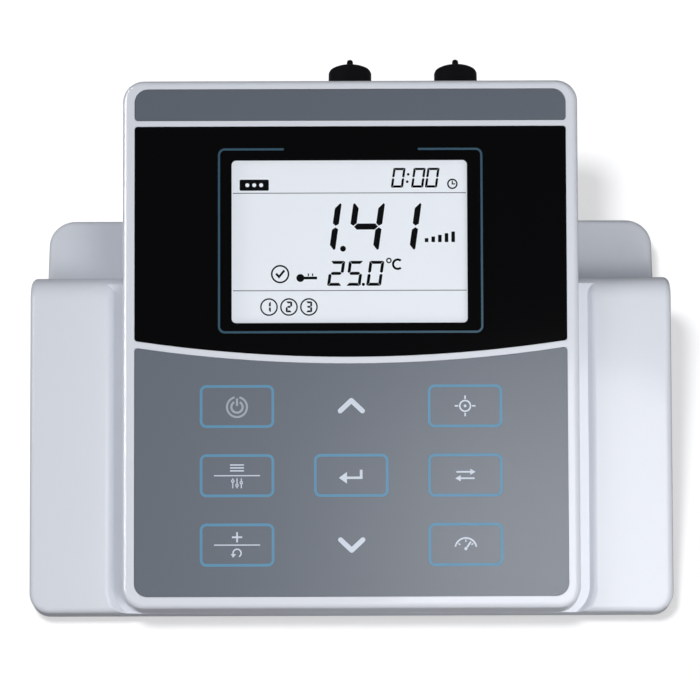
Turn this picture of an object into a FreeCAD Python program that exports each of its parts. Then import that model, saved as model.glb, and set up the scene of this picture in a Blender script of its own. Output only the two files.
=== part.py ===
import FreeCAD, Part
import math
import os

import Sketcher

# Benchtop conductivity meter: a wedge-shaped console on a winged base, with a
# display, nine keys, two capped sockets and a power inlet at the back.
# X runs to the right, Y to the back and Z up, in millimetres. The origin lies
# under the middle of the whole meter, on the desk.
# Face coordinates: x to the right, s up the sloping face from the console's
# front edge, n outward from the face. Everything in the console uses them.

SIZES = {
    # the sloping face and the console, the upper housing
    "face_tilt": 15.0,
    "front_height": 17.0,
    "console_width": 171.0,
    "console_length": 198.2,
    "console_depth": 9.0,
    "console_corner": 8.0,
    "console_edge": 2.2,
    "console_wall": 2.5,
    "face_plate": 2.0,
    "seam": 0.3,
    # the three inlays of the face, in recesses with ribs between them
    "recess_depth": 1.0,
    "inlay_thickness": 0.8,
    "inlay_gap": 0.12,
    "inlay_width": 161.8,
    "inlay_corner": 5.1,
    "inlay_small_corner": 1.2,
    "inlay_front": 4.1,
    "keypad_back_middle": 90.8,
    "keypad_back_side": 96.9,
    "display_front_middle": 93.4,
    "display_front_side": 99.5,
    "display_back": 180.0,
    "strip_front": 182.3,
    "strip_back": 194.1,
    "mask_thickness": 0.2,
    # the display
    "window_x": -0.4,
    "window_centre": 136.7,
    "window_width": 88.4,
    "window_length": 61.2,
    "window_corner": 1.7,
    "view_border": 1.8,
    "glass_width": 98.0,
    "glass_length": 73.0,
    "glass_thickness": 2.2,
    "glass_gap": 0.2,
    "frame_border": 3.0,
    "backlight_margin": 6.0,
    "contact_strip_width": 2.4,
    # the keys, in three columns and three rows
    "key_column_pitch": 42.6,
    "key_row_pitch": 25.8,
    "key_front_row": 23.3,
    "key_width": 27.8,
    "key_length": 16.0,
    "key_corner": 1.9,
    "arrow_key_width": 17.0,
    "arrow_key_length": 11.0,
    "key_gap": 0.15,
    "key_guide_gap": 0.3,
    "key_travel": 0.5,
    "key_flange": 1.2,
    "key_flange_thickness": 1.0,
    "key_rest_gap": 0.1,
    "key_stem": 6.0,
    "dome_diameter": 9.0,
    "dome_height": 0.4,
    # the board behind the face
    "board_thickness": 1.6,
    "panel_board_drop": 9.0,
    "panel_post_x": 65.5,
    "panel_post_margin": 6.0,
    "post_diameter": 7.0,
    "screw_diameter": 2.9,
    "screw_clearance": 0.05,
    "screw_head": 5.6,
    "screw_head_height": 1.4,
    "screw_reach": 4.6,
    # the base, the lower housing
    "foot_height": 2.0,
    "wing_width": 242.0,
    "wing_drop": 7.0,
    "wing_back": 124.2,
    "wing_front_corner": 7.5,
    "wing_edge": 2.4,
    "shoulder_radius": 8.5,
    "trough_width": 4.0,
    "trough_lean": 40.0,
    "rest_margin": 4.0,
    "rest_corner": 5.0,
    "ledge_step": 3.0,
    "ledge_back": 155.6,
    "ledge_top": 14.0,
    "ledge_corner": 10.0,
    "ledge_edge": 2.4,
    "tower_inset": 3.0,
    "rear_overhang": 3.5,
    "tower_corner": 6.0,
    "housing_wall": 2.5,
    "well_margin": 12.0,
    "well_corner": 4.0,
    "tongue_thickness": 1.8,
    "tongue_gap": 0.15,
    "tongue_reach": 2.0,
    "deck_screw_length": 98.0,
    "deck_screw_diameter": 2.4,
    "deck_screw_head": 4.6,
    "deck_post": 5.0,
    # the base plate, its screws and the feet
    "base_plate": 2.5,
    "base_plate_gap": 0.2,
    "base_plate_recess": 0.3,
    "case_screw_margin": 8.0,
    "case_screw_front": 11.0,
    "case_screw_middle": 100.0,
    "case_screw_tower_margin": 8.5,
    "case_screw_back_margin": 7.5,
    "foot_diameter": 14.0,
    "foot_seat": 0.8,
    "front_foot_margin": 21.0,
    "front_foot_y": 20.0,
    "back_foot_x": 56.0,
    "back_foot_margin": 12.0,
    # the main board and what stands on it
    "socket_height": 40.0,
    "socket_rise": 8.5,
    "main_board_width": 136.0,
    "main_board_length": 50.0,
    "main_board_gap": 0.8,
    "main_post_inset": 6.0,
    "header_width": 20.0,
    "header_length": 5.0,
    "header_height": 4.0,
    "header_x": -20.0,
    "header_y": 30.0,
    "ribbon_thickness": 0.5,
    "coin_diameter": 20.0,
    "coin_thickness": 3.2,
    "coin_x": -50.0,
    "coin_y": 27.0,
    # the sockets, the caps and the power inlet
    "socket_pitch": 41.0,
    "socket_block": 15.0,
    "socket_block_depth": 14.0,
    "socket_thread": 12.7,
    "socket_thread_reach": 3.4,
    "socket_barrel": 9.6,
    "temperature_barrel": 8.4,
    "socket_bore": 7.2,
    "socket_barrel_reach": 15.0,
    "socket_lug": 11.6,
    "socket_lug_diameter": 2.2,
    "contact_diameter": 1.6,
    "contact_bore": 0.9,
    "nut_flats": 14.4,
    "nut_thickness": 2.6,
    "cap_diameter": 16.6,
    "cap_corner": 3.2,
    "cap_reach": 23.2,
    "cap_gap": 0.1,
    "cap_roof": 6.5,
    "nub_diameter": 2.6,
    "nub_height": 1.55,
    "inlet_width": 9.0,
    "inlet_rise": 5.5,
    "inlet_depth": 14.0,
    "inlet_bore": 6.3,
    "inlet_bore_depth": 9.5,
    "inlet_pin": 2.0,
    "inlet_setback": 0.5,
}

document = FreeCAD.newDocument("conductivity_meter")
sheet = document.addObject("Spreadsheet::Sheet", "Sizes")
for row, (alias, value) in enumerate(SIZES.items(), start=1):
    sheet.set(f"A{row}", alias)
    sheet.set(f"B{row}", str(value))
    sheet.setAlias(f"B{row}", alias)
document.recompute()


# A size is a number that remembers the sheet expression it comes from, so that
# one sum gives both the first geometry and the binding to the sheet.

class Size(float):
    def __new__(cls, value, text):
        item = float.__new__(cls, value)
        item.text = text
        return item

    def __add__(self, other):
        return Size(float(self) + float(other), f"({self.text} + {text_of(other)})")

    def __radd__(self, other):
        return Size(float(other) + float(self), f"({text_of(other)} + {self.text})")

    def __sub__(self, other):
        return Size(float(self) - float(other), f"({self.text} - {text_of(other)})")

    def __rsub__(self, other):
        return Size(float(other) - float(self), f"({text_of(other)} - {self.text})")

    def __mul__(self, other):
        return Size(float(self) * float(other), f"({self.text} * {text_of(other)})")

    def __rmul__(self, other):
        return Size(float(other) * float(self), f"({text_of(other)} * {self.text})")

    def __truediv__(self, other):
        return Size(float(self) / float(other), f"({self.text} / {text_of(other)})")

    def __neg__(self):
        return Size(-float(self), f"(-{self.text})")


def text_of(size):
    if isinstance(size, Size):
        return size.text
    return f"({float(size):.6f})"


def sine(angle):
    return Size(math.sin(math.radians(angle)), f"sin({angle.text})")


def cosine(angle):
    return Size(math.cos(math.radians(angle)), f"cos({angle.text})")


class Named:
    """The sheet's sizes by name."""


S = Named()
for alias in SIZES:
    setattr(S, alias, Size(float(sheet.get(alias)), f"Sizes.{alias}"))

SIN = sine(S.face_tilt)
COS = cosine(S.face_tilt)
TAN = SIN / COS
ZERO = 0.0


# Places that several pieces share.

rear_wall_y = S.console_length * COS - S.rear_overhang
overall_depth = rear_wall_y + S.cap_reach + S.nub_height
front_y = -overall_depth / 2
deck_drop = S.console_depth + S.seam
plate_bottom = S.recess_depth + S.face_plate
inlay_top = S.recess_depth - S.inlay_thickness
housing_bottom = S.foot_height
plate_low = S.foot_height + S.base_plate_recess
plate_high = plate_low + S.base_plate
well_width = S.console_width - 2 * S.well_margin
well_front = S.well_margin - deck_drop * TAN
well_length = rear_wall_y / COS - deck_drop * TAN - S.housing_wall - 2.5 - well_front
well_centre = well_front + well_length / 2
board_margin = S.tongue_gap + S.tongue_thickness + 0.6
board_width = well_width - 2 * board_margin
board_length = well_length - 2 * board_margin
main_board_top = S.socket_height - S.socket_rise
main_board_back = rear_wall_y - S.housing_wall - S.main_board_gap
main_board_front = main_board_back - S.main_board_length
pilot = S.screw_diameter + 2 * S.screw_clearance


# Sketching helpers. Sketch geometry is first drawn at its true size, then
# every constraint is bound to the sheet.

def bind(item, path, size):
    item.setExpression(path, text_of(size))


def new_body(name, placed=True):
    body = document.addObject("PartDesign::Body", name)
    body.Label = name
    body.AllowCompound = True
    if placed:
        bind(body, "Placement.Base.y", front_y)
    return body


def face_body(name):
    """A body that lies in face coordinates: its XY plane is the sloping face."""
    body = new_body(name)
    body.Placement.Rotation = FreeCAD.Rotation(FreeCAD.Vector(1, 0, 0), float(S.face_tilt))
    bind(body, "Placement.Rotation.Angle", S.face_tilt)
    bind(body, "Placement.Base.z", S.front_height)
    return body


def new_sketch(body, name, plane="XY_Plane", level=ZERO):
    sketch = body.newObject("Sketcher::SketchObject", name)
    origin_plane = [item for item in body.Origin.OriginFeatures if item.Role == plane][0]
    sketch.AttachmentSupport = (origin_plane, "")
    sketch.MapMode = "FlatFace"
    bind(sketch, "AttachmentOffset.Base.z", level)
    return sketch


def fix(sketch, kind, parts, size):
    index = sketch.addConstraint(Sketcher.Constraint(kind, *parts, float(size)))
    if isinstance(size, Size):
        sketch.setExpression(f"Constraints[{index}]", size.text)


def circle(sketch, x, y, diameter):
    shape = Part.Circle(FreeCAD.Vector(x, y, 0), FreeCAD.Vector(0, 0, 1), diameter / 2)
    item = sketch.addGeometry(shape)
    fix(sketch, "DistanceX", (-1, 1, item, 3), x)
    fix(sketch, "DistanceY", (-1, 1, item, 3), y)
    fix(sketch, "Diameter", (item,), diameter)


def polygon(sketch, points):
    """A closed outline of straight lines through the given points."""
    vectors = [FreeCAD.Vector(x, y, 0) for x, y in points]
    lines = []
    for start, end in zip(vectors, vectors[1:] + vectors[:1]):
        lines.append(sketch.addGeometry(Part.LineSegment(start, end)))
    for line, following in zip(lines, lines[1:] + lines[:1]):
        sketch.addConstraint(Sketcher.Constraint("Coincident", line, 2, following, 1))
    for line, (x, y) in zip(lines, points):
        fix(sketch, "DistanceX", (-1, 1, line, 1), x)
        fix(sketch, "DistanceY", (-1, 1, line, 1), y)


def square_outline(sketch, corners, radii):
    """A closed outline of level and upright lines, with rounded corners."""
    count = len(corners)
    points = [FreeCAD.Vector(x, y, 0) for x, y in corners]
    ways = []
    for place in range(count):
        way = points[(place + 1) % count] - points[place]
        way.normalize()
        ways.append(way)
    ends = []
    arcs = []
    for place in range(count):
        before, after = ways[place - 1], ways[place]
        radius = radii[place]
        start = points[place] - before * radius
        end = points[place] + after * radius
        centre = start + after * radius
        turn = before.x * after.y - before.y * after.x
        first, last = (start, end) if turn > 0 else (end, start)
        angle = math.atan2(first.y - centre.y, first.x - centre.x)
        round_corner = Part.Circle(centre, FreeCAD.Vector(0, 0, 1), float(radius))
        arc = sketch.addGeometry(Part.ArcOfCircle(round_corner, angle, angle + math.pi / 2))
        arcs.append((arc, 1, 2) if turn > 0 else (arc, 2, 1))
        ends.append((start, end))
        fix(sketch, "Radius", (arc,), radius)
    for place in range(count):
        following = (place + 1) % count
        segment = Part.LineSegment(ends[place][1], ends[following][0])
        line = sketch.addGeometry(segment)
        arc, _, leaving = arcs[place]
        sketch.addConstraint(Sketcher.Constraint("Tangent", arc, leaving, line, 1))
        arc, entering, _ = arcs[following]
        sketch.addConstraint(Sketcher.Constraint("Tangent", line, 2, arc, entering))
        if abs(ways[place].x) > 0.5:
            sketch.addConstraint(Sketcher.Constraint("Horizontal", line))
            fix(sketch, "DistanceY", (-1, 1, line, 1), corners[place][1])
        else:
            sketch.addConstraint(Sketcher.Constraint("Vertical", line))
            fix(sketch, "DistanceX", (-1, 1, line, 1), corners[place][0])


def rectangle(sketch, x, y, width, length, radius=None):
    """A rectangle about its centre, with rounded corners if a radius is given."""
    west, east = x - width / 2, x + width / 2
    near, far = y - length / 2, y + length / 2
    corners = [(west, near), (east, near), (east, far), (west, far)]
    if radius is None:
        polygon(sketch, corners)
    else:
        square_outline(sketch, corners, [radius] * 4)


def inlay_outline(sketch, half, front_side, front_middle, back_side, back_middle):
    """An inlay's outline; an edge whose middle lies off its side is an arc."""
    corners = [(-half, front_side), (half, front_side), (half, back_side), (-half, back_side)]
    middles = [front_middle, None, back_middle, None]
    items = []
    for place in range(4):
        start = FreeCAD.Vector(*corners[place], 0)
        end = FreeCAD.Vector(*corners[(place + 1) % 4], 0)
        middle = middles[place]
        if middle is None:
            items.append((sketch.addGeometry(Part.LineSegment(start, end)), 1, 2))
            continue
        drop = corners[place][1] - middle
        radius = (half * half + drop * drop) / (2 * drop)
        centre = FreeCAD.Vector(0, middle + radius, 0)
        left = math.atan2(start.y - centre.y, -half)
        right = math.atan2(start.y - centre.y, half)
        ring = Part.Circle(centre, FreeCAD.Vector(0, 0, 1), float(radius))
        arc = sketch.addGeometry(Part.ArcOfCircle(ring, left, right))
        items.append((arc, 1, 2) if place == 0 else (arc, 2, 1))
        fix(sketch, "Radius", (arc,), radius)
    for place in range(4):
        item, _, leaving = items[place]
        following, entering, _ = items[(place + 1) % 4]
        sketch.addConstraint(
            Sketcher.Constraint("Coincident", item, leaving, following, entering)
        )
    for place in range(4):
        item, entering, _ = items[place]
        fix(sketch, "DistanceX", (-1, 1, item, entering), corners[place][0])
        fix(sketch, "DistanceY", (-1, 1, item, entering), corners[place][1])


# Feature helpers.

def extrude(body, kind, name, sketch, length, flip=False, both=False, way=None):
    feature = body.newObject(kind, name)
    feature.Profile = sketch
    feature.Reversed = flip
    feature.Midplane = both
    if way is not None:
        feature.UseCustomVector = True
        feature.AlongSketchNormal = True
        feature.Direction = FreeCAD.Vector(*way)
        bind(feature, "Direction.y", way[1])
        bind(feature, "Direction.z", way[2])
    bind(feature, "Length", length)
    document.recompute()
    return feature


def pad(body, name, sketch, length, flip=False, both=False, way=None):
    return extrude(body, "PartDesign::Pad", name, sketch, length, flip, both, way)


def pocket(body, name, sketch, length, flip=False, both=False, way=None):
    """Cuts along the sketch's back; the volume shows that it met the solid."""
    before = body.Shape.Volume
    feature = extrude(body, "PartDesign::Pocket", name, sketch, length, flip, both, way)
    if not body.Shape.Volume < before - 0.001:
        print(f"{name} cuts nothing from {body.Label}")
    return feature


def turn(body, kind, name, points):
    """Turns a closed outline of (radius, y) points about the body's Y axis."""
    sketch = new_sketch(body, name + "_profile")
    polygon(sketch, points)
    feature = body.newObject(kind, name)
    feature.Profile = sketch
    feature.ReferenceAxis = (sketch, ["V_Axis"])
    feature.Angle = 360
    document.recompute()
    return feature


def round_edges(body, name, radius, chosen):
    """Rounds the edges of the body's tip for which chosen(edge) is true."""
    base = body.Tip
    names = [f"Edge{i}" for i, edge in enumerate(base.Shape.Edges, start=1) if chosen(edge)]
    if not names:
        print(f"{name} finds no edge on {body.Label}")
        return base
    feature = body.newObject("PartDesign::Fillet", name)
    feature.Base = (base, names)
    bind(feature, "Radius", radius)
    document.recompute()
    return feature


def boolean(kind, name, base, tool):
    item = document.addObject(kind, name)
    item.Base = base
    item.Tool = tool
    item.Label = name
    document.recompute()
    return item


def joined(name, pieces):
    item = document.addObject("Part::MultiFuse", name)
    item.Shapes = pieces
    item.Label = name
    document.recompute()
    return item


def upright(edge, x=None, y=None):
    """Tells whether an edge stands upright in its body, near a given x or y."""
    box = edge.BoundBox
    if box.ZLength < 0.1 or box.XLength > 0.01 or box.YLength > 0.01:
        return False
    if x is not None and min(abs(box.XMin - value) for value in x) > 0.05:
        return False
    return y is None or min(abs(box.YMin - value) for value in y) < 0.05


nodes = []


def node(item):
    nodes.append(item)
    return item


# Upper housing: a shallow tray turned upside down, with vertical side walls,
# three recesses on top, and posts and a locating tongue below.

down = (0.0, -SIN, -COS)
upper = face_body("console_tray")
sketch = new_sketch(upper, "console_plan")
rectangle(sketch, ZERO, S.console_length / 2, S.console_width, S.console_length, S.console_corner)
pad(upper, "console_block", sketch, S.console_depth, way=down)
round_edges(
    upper,
    "console_top_edge",
    S.console_edge,
    lambda edge: edge.BoundBox.ZMin > -0.01,
)

inlays = {
    "top_strip": (S.strip_front, None, S.strip_back, None),
    "display": (S.display_front_side, S.display_front_middle, S.display_back, None),
    "keypad": (S.inlay_front, None, S.keypad_back_side, S.keypad_back_middle),
}
inlay_corners = {
    "top_strip": (S.inlay_small_corner, S.inlay_corner),
    "display": (S.inlay_small_corner, S.inlay_small_corner),
    "keypad": (S.inlay_corner, S.inlay_small_corner),
}


def grown(place, growth, outward):
    return None if place is None else place + outward * growth


def inlay_shape(body, name, which, level, thickness, growth):
    """Pads one inlay's outline upward, grown all round by a clearance."""
    front_side, front_middle, back_side, back_middle = inlays[which]
    half = S.inlay_width / 2 + growth
    front_side = grown(front_side, growth, -1)
    front_middle = grown(front_middle, growth, -1)
    back_side = grown(back_side, growth, 1)
    back_middle = grown(back_middle, growth, 1)
    plan = new_sketch(body, name + "_plan", level=level)
    inlay_outline(plan, half, front_side, front_middle, back_side, back_middle)
    pad(body, name, plan, thickness)
    front_corner, back_corner = inlay_corners[which]

    def corner_edge(edge, place):
        return upright(edge, x=(-half, half), y=(place,))

    round_edges(body, name + "_front_corners", front_corner, lambda e: corner_edge(e, front_side))
    round_edges(body, name + "_back_corners", back_corner, lambda e: corner_edge(e, back_side))


hollow_width = S.console_width - 2 * S.console_wall
hollow_length = S.console_length - 2 * S.console_wall
hollow_corner = S.console_corner - S.console_wall
sketch = new_sketch(upper, "hollow_plan", level=-plate_bottom)
hollow_centre = S.console_length / 2 - plate_bottom * TAN
rectangle(sketch, ZERO, hollow_centre, hollow_width, hollow_length, hollow_corner)
hollow_depth = S.console_depth - plate_bottom
pocket(upper, "hollow", sketch, hollow_depth + 1, way=down)

sketch = new_sketch(upper, "window_plan")
view_width = S.window_width + 2 * S.view_border
view_length = S.window_length + 2 * S.view_border
rectangle(sketch, S.window_x, S.window_centre, view_width, view_length, S.window_corner)
pocket(upper, "window_opening", sketch, plate_bottom + 0.5)

KEY_NAMES = [
    ["key_store", "key_down", "key_measure"],
    ["key_mode", "key_enter", "key_unit"],
    ["key_power", "key_up", "key_calibrate"],
]
keys = []
for row, names in enumerate(KEY_NAMES):
    for column, name in enumerate(names):
        x = (column - 1) * S.key_column_pitch
        s = S.key_front_row + row * S.key_row_pitch
        arrow = name in ("key_up", "key_down")
        width = S.arrow_key_width if arrow else S.key_width
        length = S.arrow_key_length if arrow else S.key_length
        keys.append((name, x, s, width, length))

sketch = new_sketch(upper, "key_opening_plan")
for name, x, s, width, length in keys:
    gap = 2 * S.key_guide_gap
    rectangle(sketch, x, s, width + gap, length + gap, S.key_corner + S.key_guide_gap)
pocket(upper, "key_openings", sketch, plate_bottom + 0.5)

panel_posts = []
for x in (-S.panel_post_x, S.panel_post_x):
    for s in (
        well_centre - board_length / 2 + S.panel_post_margin,
        well_centre,
        well_centre + board_length / 2 - S.panel_post_margin,
    ):
        panel_posts.append((x, s))
post_height = S.panel_board_drop - plate_bottom
sketch = new_sketch(upper, "panel_post_plan", level=-plate_bottom)
for x, s in panel_posts:
    circle(sketch, x, s, S.post_diameter)
pad(upper, "panel_posts", sketch, post_height, flip=True)

tower_inner = S.console_width / 2 - S.tower_inset - S.housing_wall
deck_post_x = tower_inner - S.deck_screw_head / 2 - 0.2
deck_posts = []
for x in (-deck_post_x, deck_post_x):
    for s in (well_centre - S.deck_screw_length / 2, well_centre + S.deck_screw_length / 2):
        deck_posts.append((x, s))
sketch = new_sketch(upper, "deck_post_plan", level=-plate_bottom)
for x, s in deck_posts:
    circle(sketch, x, s, S.deck_post)
pad(upper, "deck_posts", sketch, hollow_depth, flip=True)

tongue_width = well_width - 2 * S.tongue_gap
tongue_length = well_length - 2 * S.tongue_gap
tongue_corner = S.well_corner - S.tongue_gap
inner = 2 * S.tongue_thickness
sketch = new_sketch(upper, "tongue_plan", level=-plate_bottom)
rectangle(sketch, ZERO, well_centre, tongue_width, tongue_length, tongue_corner)
inner_corner = tongue_corner - S.tongue_thickness
rectangle(sketch, ZERO, well_centre, tongue_width - inner, tongue_length - inner, inner_corner)
pad(upper, "tongue", sketch, deck_drop + S.tongue_reach - plate_bottom, flip=True)

sketch = new_sketch(upper, "panel_pilot_plan", level=-S.panel_board_drop)
for x, s in panel_posts:
    circle(sketch, x, s, pilot)
pocket(upper, "panel_pilots", sketch, S.screw_reach, flip=True)
deck_pilot = S.deck_screw_diameter + 2 * S.screw_clearance
sketch = new_sketch(upper, "deck_pilot_plan", level=-S.console_depth)
for x, s in deck_posts:
    circle(sketch, x, s, deck_pilot)
pocket(upper, "deck_pilots", sketch, S.screw_reach, flip=True)

recesses = []
for which in inlays:
    recess = face_body(which + "_recess")
    depth = S.recess_depth + 1
    inlay_shape(recess, which + "_block", which, -S.recess_depth, depth, S.inlay_gap)
    recesses.append(recess)
node(boolean("Part::Cut", "upper_housing", upper, joined("face_recesses", recesses)))

# Inlays: the strip along the top, the display's clear lens with its printed
# mask behind it, and the keypad film with an opening for every key.

strip = face_body("top_strip")
inlay_shape(strip, "strip_sheet", "top_strip", -S.recess_depth, S.inlay_thickness, ZERO)
node(strip)

mask = face_body("lens_mask")
inlay_shape(mask, "mask_sheet", "display", -S.recess_depth, S.mask_thickness, ZERO)
sketch = new_sketch(mask, "mask_window_plan", level=-inlay_top)
rectangle(sketch, S.window_x, S.window_centre, S.window_width, S.window_length, S.window_corner)
pocket(mask, "mask_window", sketch, S.recess_depth)
node(mask)

lens = face_body("display_lens")
lens_low = S.recess_depth - S.mask_thickness
lens_thickness = S.inlay_thickness - S.mask_thickness
inlay_shape(lens, "lens_sheet", "display", -lens_low, lens_thickness, ZERO)
node(lens)

film = face_body("keypad_overlay")
inlay_shape(film, "keypad_sheet", "keypad", -S.recess_depth, S.inlay_thickness, ZERO)
sketch = new_sketch(film, "film_opening_plan", level=-inlay_top)
for name, x, s, width, length in keys:
    gap = 2 * S.key_gap
    rectangle(sketch, x, s, width + gap, length + gap, S.key_corner + S.key_gap)
pocket(film, "film_openings", sketch, S.inlay_thickness + 0.5)
node(film)

# Keys: a face flush with the film, a flange that stops under the face plate
# and a stem over the metal dome on the board.

flange_top = plate_bottom + S.key_rest_gap
flange_low = flange_top + S.key_flange_thickness
stem_end = S.panel_board_drop - S.dome_height - S.key_travel - S.key_rest_gap
for name, x, s, width, length in keys:
    key = face_body(name)
    sketch = new_sketch(key, name + "_face_plan", level=-inlay_top)
    rectangle(sketch, x, s, width, length, S.key_corner)
    pad(key, name + "_face", sketch, flange_low - inlay_top, flip=True)
    sketch = new_sketch(key, name + "_flange_plan", level=-flange_top)
    rim = 2 * S.key_flange
    rectangle(sketch, x, s, width + rim, length + rim, S.key_corner + S.key_flange)
    pad(key, name + "_flange", sketch, S.key_flange_thickness, flip=True)
    sketch = new_sketch(key, name + "_stem_plan", level=-flange_low)
    circle(sketch, x, s, S.key_stem)
    pad(key, name + "_stem", sketch, stem_end - flange_low, flip=True)
    node(key)

# Board behind the face, its domes, screws and connector.

panel_board = face_body("panel_board")
sketch = new_sketch(panel_board, "panel_board_plan", level=-S.panel_board_drop)
rectangle(sketch, ZERO, well_centre, board_width, board_length)
for x, s in panel_posts:
    circle(sketch, x, s, pilot)
pad(panel_board, "panel_board_sheet", sketch, S.board_thickness, flip=True)
node(panel_board)

domes = face_body("key_domes")
sketch = new_sketch(domes, "dome_plan", level=-S.panel_board_drop)
for name, x, s, width, length in keys:
    circle(sketch, x, s, S.dome_diameter)
pad(domes, "dome_discs", sketch, S.dome_height)
node(domes)


def screws(body, name, places, level, diameter, head, head_height, reach, up):
    """Screws whose heads seat at a level and whose shanks run up or down."""
    plan = new_sketch(body, name + "_head_plan", level=level)
    for x, y in places:
        circle(plan, x, y, head)
    pad(body, name + "_heads", plan, head_height, flip=up)
    plan = new_sketch(body, name + "_shank_plan", level=level)
    for x, y in places:
        circle(plan, x, y, diameter)
    pad(body, name + "_shanks", plan, reach, flip=not up)
    return body


panel_screws = face_body("panel_screws")
screw_level = -(S.panel_board_drop + S.board_thickness)
panel_reach = S.board_thickness + S.screw_reach - 0.4
screws(
    panel_screws, "panel_screw", panel_posts, screw_level,
    S.screw_diameter, S.screw_head, S.screw_head_height, panel_reach, True,
)
node(panel_screws)

# Display: glass on two elastomer contact strips, with the light guide between
# them, inside a plastic frame that stands on the board.

glass_top = plate_bottom + S.glass_gap
glass_low = glass_top + S.glass_thickness
glass = face_body("lcd_glass")
sketch = new_sketch(glass, "glass_plan", level=-glass_low)
rectangle(sketch, S.window_x, S.window_centre, S.glass_width, S.glass_length)
pad(glass, "glass_sheet", sketch, S.glass_thickness)
node(glass)

light = face_body("backlight")
sketch = new_sketch(light, "light_plan", level=-glass_low)
light_width = S.glass_width - S.backlight_margin
light_length = S.glass_length - 2 * S.backlight_margin
rectangle(sketch, S.window_x, S.window_centre, light_width, light_length)
light_depth = S.panel_board_drop - glass_low
pad(light, "light_block", sketch, light_depth, flip=True)
node(light)

strips = face_body("contact_strips")
sketch = new_sketch(strips, "contact_plan", level=-glass_low)
strip_place = S.glass_length / 2 - S.backlight_margin / 2
for s in (S.window_centre - strip_place, S.window_centre + strip_place):
    rectangle(sketch, S.window_x, s, light_width, S.contact_strip_width)
pad(strips, "contact_blocks", sketch, light_depth, flip=True)
node(strips)

frame = face_body("lcd_frame")
sketch = new_sketch(frame, "lcd_frame_plan", level=-plate_bottom)
frame_width = S.glass_width + 2 * S.frame_border
frame_length = S.glass_length + 2 * S.frame_border
rectangle(sketch, S.window_x, S.window_centre, frame_width, frame_length, S.frame_border)
room = 2 * S.glass_gap
rectangle(sketch, S.window_x, S.window_centre, S.glass_width + room, S.glass_length + room)
pad(frame, "lcd_frame_ring", sketch, post_height, flip=True)
node(frame)

# Lower housing: wings, a lower ledge behind them and a tower under the
# console. One outline makes the outside and, drawn in by the wall, the core.

tall = S.front_height + S.console_length * SIN


def housing_block(name, inset):
    block = new_body(name)
    low = housing_bottom - (1.0 if inset else 0.0)
    ledge_half = S.wing_width / 2 - S.ledge_step - inset
    plan = new_sketch(block, name + "_ledge_plan", level=low)
    corners = [
        (-ledge_half, S.wing_back / 2),
        (ledge_half, S.wing_back / 2),
        (ledge_half, S.ledge_back - inset),
        (-ledge_half, S.ledge_back - inset),
    ]
    round_corner = S.ledge_corner - inset
    square_outline(plan, corners, [round_corner] * 4)
    pad(block, name + "_ledge", plan, S.ledge_top - inset - low)
    if not inset:
        round_edges(block, name + "_ledge_edge", S.ledge_edge, ledge_rim)

    wing_half = S.wing_width / 2 - inset
    wing_back = S.wing_back - inset
    plan = new_sketch(block, name + "_wing_plan", level=low)
    polygon(plan, [
        (-wing_half, ZERO + inset),
        (wing_half, ZERO + inset),
        (wing_half, wing_back),
        (-wing_half, wing_back),
    ])
    pad(block, name + "_wings", plan, tall)
    front = S.wing_front_corner - inset
    round_edges(block, name + "_front_corners", front, lambda edge: upright_front(edge, inset))
    level = S.front_height - (S.wing_drop + inset) / COS
    profile = new_sketch(block, name + "_slope_profile", plane="YZ_Plane")
    cut_above(profile, level)
    pocket(block, name + "_slope", profile, S.wing_width + 20, both=True)

    trough = new_sketch(block, name + "_trough_plan")
    trough.AttachmentOffset = FreeCAD.Placement(
        FreeCAD.Vector(0, 0, 0), FreeCAD.Rotation(FreeCAD.Vector(1, 0, 0), float(S.face_tilt))
    )
    bind(trough, "AttachmentOffset.Rotation.Angle", S.face_tilt)
    drop = deck_drop + inset
    bind(trough, "AttachmentOffset.Base.y", drop * SIN)
    bind(trough, "AttachmentOffset.Base.z", S.front_height - drop * COS)
    half = S.console_width / 2 + S.trough_width + inset
    far = S.wing_width / 2 + 20
    step = S.wing_back / COS - drop * TAN - S.rest_margin - inset
    near = -S.trough_width - 0.5 - inset
    end = S.console_length + 60
    corners = [
        (-half, near), (half, near), (half, step), (far, step),
        (far, end), (-far, end), (-far, step), (-half, step),
    ]
    turn_round = S.console_corner + S.trough_width
    inner = S.rest_corner
    radii = [turn_round, turn_round, inner, 1.0, 1.0, 1.0, 1.0, inner]
    square_outline(trough, corners, radii)
    opening = pocket(block, name + "_trough", trough, deck_drop - S.wing_drop + 0.5, flip=True)
    if not inset:
        bind(opening, "TaperAngle", S.trough_lean)
        document.recompute()
    shoulder = new_sketch(block, name + "_shoulder_profile", plane="YZ_Plane")
    shoulder_cut(shoulder, wing_back, S.shoulder_radius - inset, level)
    pocket(block, name + "_shoulder", shoulder, S.wing_width + 20, both=True)

    tower_half = S.console_width / 2 - S.tower_inset - inset
    plan = new_sketch(block, name + "_tower_plan", level=low)
    corners = [
        (-tower_half, S.wing_back / 2),
        (tower_half, S.wing_back / 2),
        (tower_half, rear_wall_y - inset),
        (-tower_half, rear_wall_y - inset),
    ]
    round_corner = S.tower_corner - inset
    square_outline(plan, corners, [1.0, 1.0, round_corner, round_corner])
    pad(block, name + "_tower", plan, tall)
    profile = new_sketch(block, name + "_deck_profile", plane="YZ_Plane")
    cut_above(profile, S.front_height - drop / COS)
    pocket(block, name + "_deck", profile, 2 * tower_half + 0.2, both=True)
    return block


def cut_above(profile, level):
    """The side profile of everything above the slope that starts at a level."""
    back = rear_wall_y + 40
    polygon(profile, [
        (-20.0, level - 20 * TAN),
        (back, level + back * TAN),
        (back, tall + 80),
        (-20.0, tall + 80),
    ])


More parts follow.
